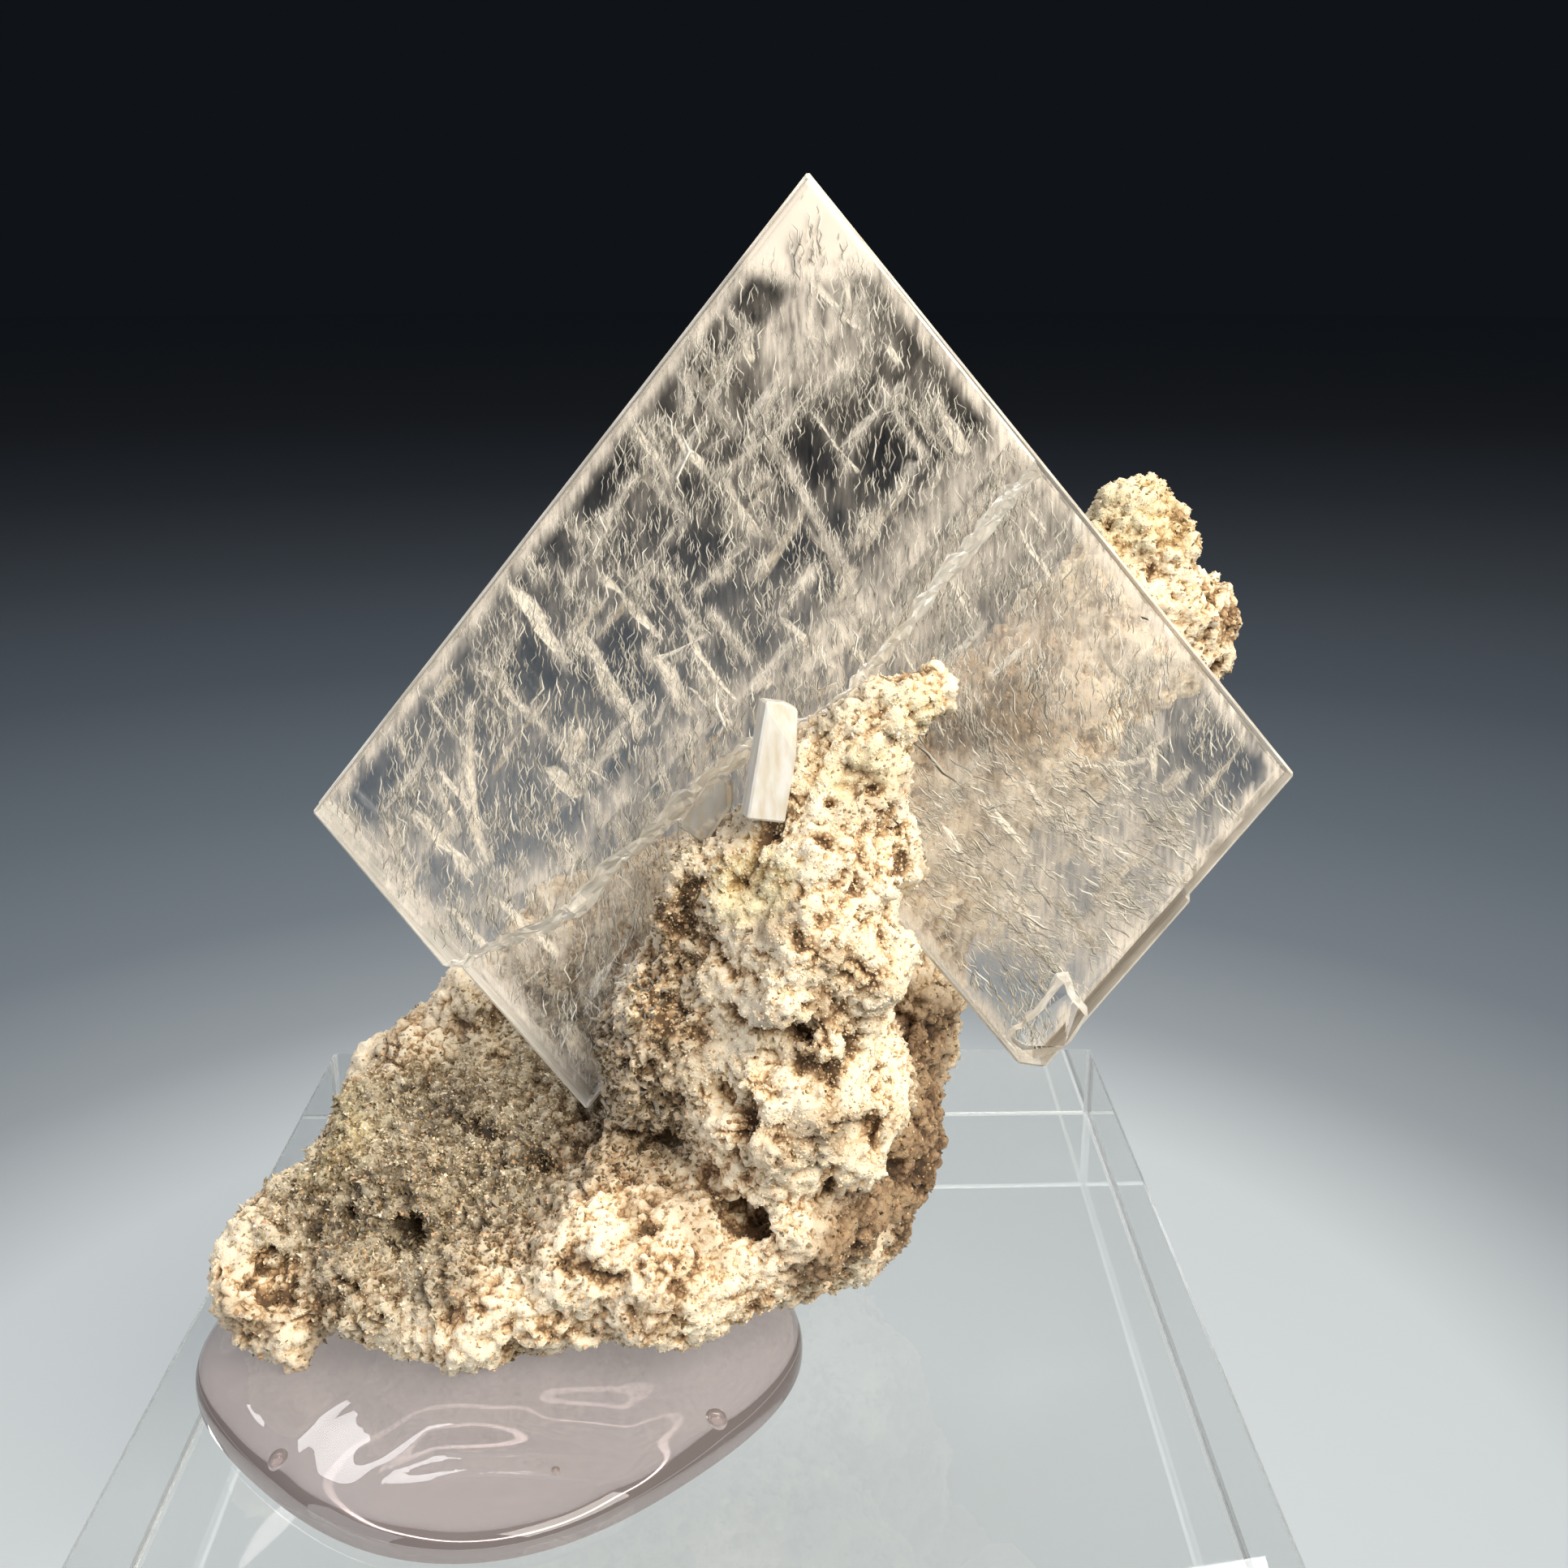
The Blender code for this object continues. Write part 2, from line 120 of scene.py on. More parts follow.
def add_node(tree: Tree, kind: str, inputs: dict | None = None,
             stops: Stops = (), **settings: object) -> Node:
    """Add a shader node with its settings and links.

    Args:
        tree: The node tree that takes the node.
        kind: Blender's name for the node's type, without ShaderNode.
        inputs: Values, sockets or nodes for its inputs, by name or number; a node stands for
            its first output.
        stops: Places and colours of a colour ramp.
        settings: The node's own properties.

    Returns:
        The new node.
    """
    node = tree.nodes.new("ShaderNode" + kind)
    for name, value in settings.items():
        setattr(node, name, value)
    for key, value in (inputs or {}).items():
        if isinstance(value, Node):
            value = value.outputs[0]
        if isinstance(value, bpy.types.NodeSocket):
            tree.links.new(value, node.inputs[key])
        else:
            node.inputs[key].default_value = value
    for index, (place, colour) in enumerate(stops):
        marks = node.color_ramp.elements
        mark = marks[index] if index < 2 else marks.new(place)
        mark.position = place
        mark.color = linear(colour)
    return node


@dataclass(frozen=True)
class Finish:
    """A finish whose shader starts from one colour, roughness, IOR and clearness."""

    name: str
    colour: str = "#FFFFFF"
    roughness: float = 0.5
    ior: float = 1.5
    clearness: float = 0.0

    def make(self) -> bpy.types.Material:
        """Build the material and let the finish paint it.

        Returns:
            The material.
        """
        material = bpy.data.materials.new(self.name)
        material.use_nodes = True
        tree = material.node_tree
        tree.nodes.clear()
        shader = add_node(tree, "BsdfPrincipled", {
            "Base Color": linear(self.colour), "Roughness": self.roughness,
            "IOR": self.ior, "Transmission Weight": self.clearness})
        output = add_node(tree, "OutputMaterial", {"Surface": shader.outputs["BSDF"]})
        self.paint(tree, shader, output)
        return material

    def paint(self, tree: Tree, shader: Node, output: Node) -> None:
        """Add the finish's own nodes; a plain finish has none.

        Args:
            tree: The material's node tree.
            shader: Its Principled BSDF node.
            output: Its output node.
        """


@dataclass(frozen=True)
class ClearFinish(Finish):
    """A see-through finish that tints the light on its way through."""

    tint: str = "#FFFFFF"
    tint_density: float = 0.0

    def paint(self, tree: Tree, shader: Node, output: Node) -> None:
        """Tint the inside."""
        absorb = add_node(tree, "VolumeAbsorption", {
            "Color": linear(self.tint), "Density": self.tint_density})
        tree.links.new(absorb.outputs["Volume"], output.inputs["Volume"])


@dataclass(frozen=True)
class ClearBarite(ClearFinish):
    """Clear barite, a cleaved natural face: glassy, faintly warm, with tiny ripples."""

    tint: str = "#F3E6D0"
    tint_density: float = 8.0
    ripple: float = 1.6
    ripple_depth: float = 0.012

    def paint(self, tree: Tree, shader: Node, output: Node) -> None:
        """Tint the inside and ripple the faces."""
        super().paint(tree, shader, output)
        spot = add_node(tree, "TexCoord")
        wave = add_node(tree, "TexNoise", {
            "Vector": spot.outputs["Object"], "Scale": 1 / (self.ripple * MM), "Detail": 1.0})
        bump = add_node(tree, "Bump", {
            "Height": wave, "Strength": 1.0, "Distance": self.ripple_depth * MM})
        tree.links.new(bump.outputs["Normal"], shader.inputs["Normal"])


@dataclass(frozen=True)
class EtchedSide(Finish):
    """The crystal's naturally etched side faces: frosted white, striped along the edge."""

    stripe: float = 0.6
    stripe_depth: float = 0.06

    def paint(self, tree: Tree, shader: Node, output: Node) -> None:
        """Stripe the frosted face along the plate's growth layers."""
        spot = add_node(tree, "TexCoord").outputs["Object"]
        drawn = add_node(tree, "Mapping", {
            "Vector": spot, "Scale": (0.12, 1.0, 0.12)}).outputs["Vector"]
        grain = add_node(tree, "TexNoise", {
            "Vector": drawn, "Scale": 1 / (self.stripe * MM), "Detail": 4.0,
            "Roughness": 0.65})
        bump = add_node(tree, "Bump", {
            "Height": grain, "Strength": 1.0, "Distance": self.stripe_depth * MM})
        tree.links.new(bump.outputs["Normal"], shader.inputs["Normal"])
        tone = add_node(tree, "ValToRGB", {"Fac": grain},
                        stops=((0.35, "#CCC2B1"), (0.62, "#FCF8EE")))
        tree.links.new(tone.outputs["Color"], shader.inputs["Base Color"])


@dataclass(frozen=True)
class HealedCrack(Finish):
    """A healed crack or cloud inside barite: a white film of tiny bubbles, drawn into fibres."""

    fibre: float = 0.22
    fibre_length: float = 7.0

    def paint(self, tree: Tree, shader: Node, output: Node) -> None:
        """Let the film show as strongly as its mesh says, a little more or less by its fibres."""
        spot = add_node(tree, "TexCoord").outputs["Object"]
        drawn = add_node(tree, "Mapping", {
            "Vector": spot, "Scale": (1.0, 0.5, 1 / self.fibre_length)}).outputs["Vector"]
        fibre = add_node(tree, "TexNoise", {
            "Vector": drawn, "Scale": 1 / (self.fibre * MM), "Detail": 1.0})
        speckle = add_node(tree, "MapRange", {
            "Value": fibre, "From Min": 0.35, "From Max": 0.65,
            "To Min": 0.5, "To Max": 1.5})
        cloud = add_node(tree, "Attribute", attribute_name="cloud")
        shown = add_node(tree, "Math", {
            0: speckle, 1: cloud.outputs["Fac"]},
            operation="MULTIPLY", use_clamp=True)
        tree.links.new(shown.outputs["Value"], shader.inputs["Alpha"])


@dataclass(frozen=True)
class PorousRock(Finish):
    """Porous iron-stained rock: sugary cream on its knobs, with painted shade that makes it dark
    brown in its hollows and crevices.
    """

    grain: float = 0.4
    crumb: float = 0.62
    bump: float = 0.3
    # The colours from hollow to knob, dark in the hollows as painted shade: the rock's own, and
    # where a stored zone takes over.
    stops: Stops = ((0.0, "#6E543A"), (0.25, "#B6926A"), (0.45, "#E3C9A2"), (0.75, "#FAEACE"))
    zones: tuple[tuple[str, Stops], ...] = (
        ("brown", ((0.0, "#3E2D1C"), (0.35, "#654D36"), (0.6, "#876C50"), (0.9, "#A98E6E"))),
        ("grey", ((0.0, "#3A3127"), (0.4, "#695D4D"), (0.65, "#867A67"), (0.9, "#A89C87"))),
        ("yellow", ((0.0, "#8C6C3A"), (0.35, "#C9AA6A"), (0.65, "#EAD79B"), (0.9, "#F6EBBE"))))

    def paint(self, tree: Tree, shader: Node, output: Node) -> None:
        """Colour by height of relief, which paints shade dark into the hollows, by zone, by two
        sizes of grain and by painted shade along the crevices between crumbs.
        """
        spot = add_node(tree, "TexCoord").outputs["Object"]
        grain = add_node(tree, "TexNoise", {
            "Vector": spot, "Scale": 1 / (self.grain * MM), "Detail": 3.0, "Roughness": 0.75})
        warp = add_node(tree, "VectorMath", {
            0: grain.outputs["Color"], 1: (0.4 * MM,) * 3, 2: spot}, operation="MULTIPLY_ADD")
        crumb = add_node(tree, "TexVoronoi", {
            "Vector": warp, "Scale": 1 / (self.crumb * MM)},
            feature="DISTANCE_TO_EDGE")
        # Painted shade: darker along the crevices between the crumbs.
        crevice_shade = add_node(tree, "MapRange", {
            "Value": crumb, "From Min": 0.0, "From Max": 0.22,
            "To Min": -0.22, "To Max": 0.05}, interpolation_type="SMOOTHSTEP")
        speckled = add_node(tree, "Math", {
            0: grain, 1: 0.5, 2: -0.25}, operation="MULTIPLY_ADD")
        grain_and_crevice_shade = add_node(tree, "Math", {
            0: speckled, 1: crevice_shade}, operation="ADD")
        relief = add_node(tree, "Attribute", attribute_name="relief")
        # The ramps below paint shade by this height: dark in the hollows and crevices, light on
        # the knobs.
        height = add_node(tree, "Math", {
            0: relief.outputs["Fac"], 1: grain_and_crevice_shade}, operation="ADD")
        colour = add_node(tree, "ValToRGB", {"Fac": height}, stops=self.stops)
        for zone, stops in self.zones:
            share = add_node(tree, "Attribute", attribute_name=zone).outputs["Fac"]
            ramp = add_node(tree, "ValToRGB", {"Fac": height}, stops=stops)
            colour = add_node(tree, "Mix", {
                0: share, 6: colour, 7: ramp}, data_type="RGBA").outputs[2]
        tree.links.new(colour, shader.inputs["Base Color"])
        bump = add_node(tree, "Bump", {
            "Height": speckled, "Strength": 1.0, "Distance": self.bump * MM})
        tree.links.new(bump.outputs["Normal"], shader.inputs["Normal"])


@dataclass(frozen=True)
class TonedGrains(Finish):
    """Tiny crystals, or fine threads in the barite, each with its own tone and its own glint."""

    dark: str = "#7F6C52"
    middle: str = "#B9A27C"
    light: str = "#EADFC4"

    def paint(self, tree: Tree, shader: Node, output: Node) -> None:
        """Colour each grain by its own tone."""
        tone = add_node(tree, "Attribute", attribute_name="tone")
        colour = add_node(tree, "ValToRGB", {"Fac": tone.outputs["Fac"]}, stops=(
            (0.0, self.dark), (0.5, self.middle), (1.0, self.light)))
        tree.links.new(colour.outputs["Color"], shader.inputs["Base Color"])


@dataclass(frozen=True)
class CastAcrylic(ClearFinish):
    """Cast and polished acrylic: water clear, faintly cool, with sanded edges and soft smears."""

    tint: str = "#C3D3CC"
    tint_density: float = 9.0

    def paint(self, tree: Tree, shader: Node, output: Node) -> None:
        """Cool the inside and smear the polish a little."""
        super().paint(tree, shader, output)
        spot = add_node(tree, "TexCoord")
        smear = add_node(tree, "TexNoise", {
            "Vector": spot.outputs["Object"], "Scale": 1 / (18 * MM), "Detail": 3.0})
        polish = add_node(tree, "MapRange", {
            "Value": smear, "From Min": 0.5, "From Max": 0.8,
            "To Min": 0.0, "To Max": 0.07})
        facing = add_node(tree, "VectorMath", {0: spot.outputs["Normal"]},
                          operation="ABSOLUTE")
        parts = add_node(tree, "SeparateXYZ", {"Vector": facing})
        sides = add_node(tree, "Math", {0: parts.outputs["X"], 1: parts.outputs["Y"]},
                         operation="MAXIMUM")
        flat = add_node(tree, "Math", {0: sides, 1: parts.outputs["Z"]},
                        operation="MAXIMUM")
        edge = add_node(tree, "MapRange", {
            "Value": flat, "From Min": 0.96, "From Max": 0.99,
            "To Min": 0.6, "To Max": 0.0})
        rough = add_node(tree, "Math", {
            0: polish, 1: edge}, operation="MAXIMUM")
        tree.links.new(rough.outputs["Value"], shader.inputs["Roughness"])


@dataclass(frozen=True)
class MountingGel(ClearFinish):
    """Clear mounting gel, poured and set: wet looking, with a faint rosy tint."""

    tint: str = "#E0C0B8"
    tint_density: float = 9.0


@dataclass(frozen=True)
class MilkyBarite(Finish):
    """Milky barite in small crystals: white and half clear, with streaks along its length."""

    streak: float = 0.5

    def paint(self, tree: Tree, shader: Node, output: Node) -> None:
        """Streak the crystal along its length."""
        spot = add_node(tree, "TexCoord").outputs["Object"]
        stretched = add_node(tree, "Mapping", {
            "Vector": spot, "Scale": (1.0, 1.0, 0.25)}).outputs["Vector"]
        streak = add_node(tree, "TexNoise", {
            "Vector": stretched, "Scale": 1 / (self.streak * MM), "Detail": 4.0})
        tone = add_node(tree, "ValToRGB", {"Fac": streak},
                        stops=((0.3, "#EBDDC4"), (0.65, "#FFFCF4")))
        tree.links.new(tone.outputs["Color"], shader.inputs["Base Color"])
        bump = add_node(tree, "Bump", {
            "Height": streak, "Strength": 1.0, "Distance": 0.04 * MM})
        tree.links.new(bump.outputs["Normal"], shader.inputs["Normal"])


@dataclass(frozen=True)
class PaintedLightPaper(Finish):
    """Studio paper with a painted pool of light: it glows pale under the object and is graded to
    dark away from it, with a share of matt colour that takes the lamps' light.
    """

    glow: float = 0.62
    matt: float = 0.3

    def paint(self, tree: Tree, shader: Node, output: Node) -> None:
        """Paint the pool of light by the paper's distance from the object, as glow and as matt
        colour.
        """
        spot = add_node(tree, "TexCoord").outputs["Object"]
        away = add_node(tree, "VectorMath", {0: spot}, operation="LENGTH")
        painted_light_pool = add_node(tree, "ValToRGB", {"Fac": away.outputs["Value"]}, stops=(
            (0.0, "#CBD0D3"), (0.07, "#C2C8CB"), (0.1, "#8C9398"), (0.14, "#68717A"),
            (0.2, "#525C66"), (0.3, "#38424C"), (0.45, "#272F38"), (0.65, "#1A2028"),
            (1.0, "#12161B")))
        # Painted light: the paper glows pale under the object and dark away from it, though it is
        # no lamp.
        tree.links.new(painted_light_pool.outputs["Color"], shader.inputs["Emission Color"])
        shader.inputs["Emission Strength"].default_value = self.glow
        dimmed = add_node(tree, "Mix", {
            0: self.matt, 6: (0.0, 0.0, 0.0, 1.0), 7: painted_light_pool.outputs["Color"]}, data_type="RGBA")
        tree.links.new(dimmed.outputs[2], shader.inputs["Base Color"])


def new_piece(name: str, mesh: Mesh) -> Piece:
    """Put a mesh in the scene as a piece of the object.

    Args:
        name: The piece's name.
        mesh: Its mesh, in metres.

    Returns:
        The piece.
    """
    piece = bpy.data.objects.new(name, mesh)
    bpy.context.scene.collection.objects.link(piece)
    return piece


def mesh_from(shape: Shape, name: str) -> Mesh:
    """Turn a bmesh into a mesh, without the imported corner normals, and free it.

    Args:
        shape: The bmesh.
        name: The mesh's name.

    Returns:
        The mesh.
    """
    mesh = bpy.data.meshes.new(name)
    shape.to_mesh(mesh)
    shape.free()
    corner_normals = mesh.attributes.get("custom_normal")
    if corner_normals:
        mesh.attributes.remove(corner_normals)
    return mesh


def merged_copy(node: str) -> Shape:
    """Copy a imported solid's mesh and merge its loose triangles.

    Args:
        node: The solid's name.

    Returns:
        A bmesh that the caller frees.
    """
    shape = bmesh.new()
    shape.from_mesh(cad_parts[node].data)
    bmesh.ops.remove_doubles(shape, verts=shape.verts, dist=0.001 * MM)
    return shape


def corner_array(mesh: Mesh) -> Array:
    """Read a mesh's vertices as an array of three columns.

    Args:
        mesh: The mesh.

    Returns:
        One row for each vertex, in metres.
    """
    spots = np.empty(len(mesh.vertices) * 3)
    mesh.vertices.foreach_get("co", spots)
    return spots.reshape(-1, 3)


def store_attribute(mesh: Mesh, name: str, values: Array) -> None:
    """Store one number for each vertex, for the materials to read."""
    attribute = mesh.attributes.new(name, "FLOAT", "POINT")
    attribute.data.foreach_set("value", np.ascontiguousarray(values, dtype=np.float32))


def read_attribute(mesh: Mesh, name: str) -> Array:
    """Read back the number that was stored for each vertex.

    Args:
        mesh: The mesh.
        name: The attribute's name.

    Returns:
        One number for each vertex.
    """
    values = np.empty(len(mesh.vertices), dtype=np.float32)
    mesh.attributes[name].data.foreach_get("value", values)
    return values


def finish_piece(piece: Piece, materials: list[bpy.types.Material],
                 smooth: bool) -> None:
    """Dress a piece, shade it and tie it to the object's body.

    Args:
        piece: The piece.
        materials: Its materials, in the order of its faces' numbers.
        smooth: Whether its faces are shaded smooth.
    """
    for material in materials:
        piece.data.materials.append(material)
    if smooth:
        piece.data.shade_smooth()
    else:
        piece.data.shade_flat()
    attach(piece, "root")
    LOG.info("%s: %d faces", piece.name, len(piece.data.polygons))


def let_light_through(piece: Piece) -> None:
    """Let the studio light reach what lies in and behind a clear piece."""
    piece.visible_shadow = False
    piece.visible_diffuse = False


def soft_step(values: Array, low: float, high: float) -> Array:
    """Rise smoothly from zero at low to one at high, or fall if high is the lower one."""
    share = np.clip((values - low) / (high - low), 0.0, 1.0)
    return share * share * (3.0 - 2.0 * share)


def drift(spots: Array, size: float, layer: float, reach: float) -> Array:
    """Give each spot on the plate a smooth shift, with waves of a size, up to a reach."""
    return np.array([noise.noise_vector(Vector((x / size, y / size, layer))).xy * reach
                     for x, y in spots], dtype=np.float32)


def mottling(spots: Array, fineness: float, octaves: int) -> Array:
    """Give a blotchy value about zero at each spot, for blotches about one across."""
    return np.array([noise.fractal(Vector(spot), fineness, 2.1, octaves) for spot in spots])


def run_distance(spots: Array, run: Run) -> Array:
    """Give each spot's distance from a run of straight pieces.

    Args:
        spots: Places on the plate, one in each row.
        run: The places that the run passes.

    Returns:
        One distance for each spot.
    """
    nearest = np.full(len(spots), np.inf)
    for start, end in zip(np.array(run), np.array(run)[1:]):
        way = end - start
        share = np.clip((spots - start) @ way / (way @ way), 0.0, 1.0)
        nearest = np.minimum(nearest, np.linalg.norm(
            spots - start - share[:, None] * way, axis=1))
    return nearest


@dataclass(frozen=True)
class Patch:
    """A soft ellipsoid region, in millimetres, with the strength it gives at its heart."""

    centre: tuple[float, ...]
    reach: tuple[float, ...]
    strength: float = 1.0

    def weight(self, spots: Array) -> Array:
        """Give the patch's strength at each spot."""
        away = (spots - np.array(self.centre)) / np.array(self.reach)
        return self.strength * soft_step(np.linalg.norm(away, axis=1), 1.25, 0.55)


def patch_level(spots: Array, patches: tuple[Patch, ...]) -> Array:
    """Give the strongest patch's weight at each spot."""
    return np.max([patch.weight(spots) for patch in patches], axis=0)


@dataclass(frozen=True)
class Template:
    """A small closed shape that is repeated many times in one mesh."""

    spots: Array
    faces: Array

    @classmethod
    def from_shape(cls, shape: Shape) -> Template:
        """Read the template from a bmesh and free it.

        Args:
            shape: The bmesh.

        Returns:
            The template.
        """
        bmesh.ops.triangulate(shape, faces=shape.faces)
        shape.verts.index_update()
        spots = np.array([v.co for v in shape.verts])
        faces = np.array([[v.index for v in f.verts] for f in shape.faces])
        shape.free()
        return cls(spots, faces)


def repeat_template(name: str, template: Template, turns: Array, places: Array,
                    tones: Array) -> Mesh:
    """Join many turned and placed copies of a template in one mesh.

    Args:
        name: The mesh's name.
        template: The shape that is repeated.
        turns: One 3 by 3 matrix for each copy, with its scale.
        places: One place for each copy, in metres.
        tones: One tone from zero to one for each copy.

    Returns:
        The joined mesh, with its tones stored.
    """
    spots = np.einsum("nij,vj->nvi", turns, template.spots) + places[:, None, :]
    count = len(template.spots)
    faces = template.faces[None, :, :] + (np.arange(len(places)) * count)[:, None, None]
    mesh = bpy.data.meshes.new(name)
    mesh.from_pydata(spots.reshape(-1, 3).tolist(), [], faces.reshape(-1, 3).tolist())
    store_attribute(mesh, "tone", np.repeat(tones, count))
    return mesh


def random_turns(rng: np.random.Generator, count: int) -> Array:
    """Give random rotation matrices, evenly spread over all directions.

    Args:
        rng: The source of chance.
        count: How many to give.

    Returns:
        One matrix for each.
    """
    parts = rng.normal(size=(count, 4))
    parts /= np.linalg.norm(parts, axis=1, keepdims=True)
    w, x, y, z = parts.T
    rows = np.array([
        [1 - 2 * (y * y + z * z), 2 * (x * y - z * w), 2 * (x * z + y * w)],
        [2 * (x * y + z * w), 1 - 2 * (x * x + z * z), 2 * (y * z - x * w)],
        [2 * (x * z - y * w), 2 * (y * z + x * w), 1 - 2 * (x * x + y * y)]])
    return rows.transpose(2, 0, 1)


def upright_turns(rng: np.random.Generator, normals: Array, lean: float) -> Array:
    """Give turns whose third axis stands on each normal, leaning at random.

    Args:
        rng: The source of chance.
        normals: One direction in each row.
        lean: How far the axes lean from them.

    Returns:
        One matrix for each normal.
    """
    up = normals + lean * rng.normal(size=normals.shape)
    up /= np.linalg.norm(up, axis=1, keepdims=True)
    side = np.cross(up, rng.normal(size=normals.shape))
    side /= np.linalg.norm(side, axis=1, keepdims=True)
    return np.stack([side, np.cross(up, side), up], axis=2)


@dataclass(frozen=True)
class PhotoCamera:
    """The camera, where the photograph was taken from."""

    place: tuple[float, float, float] = (4.9, -122.2, 95.7)
    look_down: float = 16.9
    turn: float = -0.8
    focal_pixels: float = 2150.0
    frame_pixels: float = 1932.0
    sensor: float = 36.0

    def build(self) -> None:
        """Make the camera and set it as the scene's."""
        data = bpy.data.cameras.new("photo_camera")
        data.sensor_width = self.sensor
        data.lens = self.focal_pixels / self.frame_pixels * self.sensor
        data.clip_start = 0.005
        camera = bpy.data.objects.new("photo_camera", data)
        camera.location = Vector(self.place) * MM
        camera.rotation_euler = (math.radians(90 - self.look_down), 0, math.radians(self.turn))
        bpy.context.scene.collection.objects.link(camera)
        bpy.context.scene.camera = camera


@dataclass(frozen=True)
class SoftBox:
    """One studio softbox; places are in millimetres and power in watts."""

    name: str
    place: tuple[float, float, float]
    width: float
    height: float
    power: float
    colour: str = "#FFFFFF"

    def build(self) -> None:
        """Hang the softbox and aim it at the specimen."""
        data = bpy.data.lights.new(self.name, "AREA")
        data.shape = "RECTANGLE"
        data.size = self.width * MM
        data.size_y = self.height * MM
        data.energy = self.power
        data.color = linear(self.colour)[:3]
        light = bpy.data.objects.new(self.name, data)
        light.location = Vector(self.place) * MM
        aim = Vector((2.0, -8.0, 50.0)) * MM - light.location
        light.rotation_euler = aim.to_track_quat("-Z", "Y").to_euler()
        bpy.context.scene.collection.objects.link(light)


@dataclass(frozen=True)
class Studio:
    """The graded paper floor with its painted pool of light, the softboxes and the dark room
    around them.
    """

    floor_radius: float = 3000.0
    floor_drop: float = 0.2
    room_colour: str = "#101317"
    boxes: tuple[SoftBox, ...] = (
        SoftBox("key_softbox", (300.0, -320.0, 430.0), 420.0, 420.0, 6.4, "#FFFAF0"),
        SoftBox("fill_softbox", (-460.0, -300.0, 200.0), 360.0, 360.0, 1.5, "#F6F8FF"),
        SoftBox("rear_softbox", (-60.0, 300.0, 430.0), 520.0, 120.0, 1.8),
    )

    def build(self) -> None:
        """Lay the floor, darken the room and hang the lights."""
        shape = bmesh.new()
        bmesh.ops.create_circle(shape, cap_ends=True, segments=96, radius=self.floor_radius * MM)
        bmesh.ops.translate(shape, verts=shape.verts, vec=(0, 0, -self.floor_drop * MM))
        floor = new_piece("paper_floor", mesh_from(shape, "paper_floor"))
        paper = PaintedLightPaper("paper_painted_light", roughness=0.9).make()
        paper.cycles.emission_sampling = "NONE"
        floor.data.materials.append(paper)
        world = bpy.data.worlds.new("dark_room")
        world.use_nodes = True
        world.node_tree.nodes["Background"].inputs["Color"].default_value = (
            linear(self.room_colour))
        bpy.context.scene.world = world
        for box in self.boxes:
            box.build()


@dataclass(frozen=True)
class AcrylicBlock:
    """The clear block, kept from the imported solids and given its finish."""

    node: str = "acrylic_block"

    def build(self) -> None:
        """Dress the block."""
        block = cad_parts[self.node]
        block.data.materials.clear()
        block.data.materials.append(CastAcrylic("cast_acrylic", ior=1.49, clearness=1.0).make())
        let_light_through(block)
        LOG.info("%s: dressed", self.node)


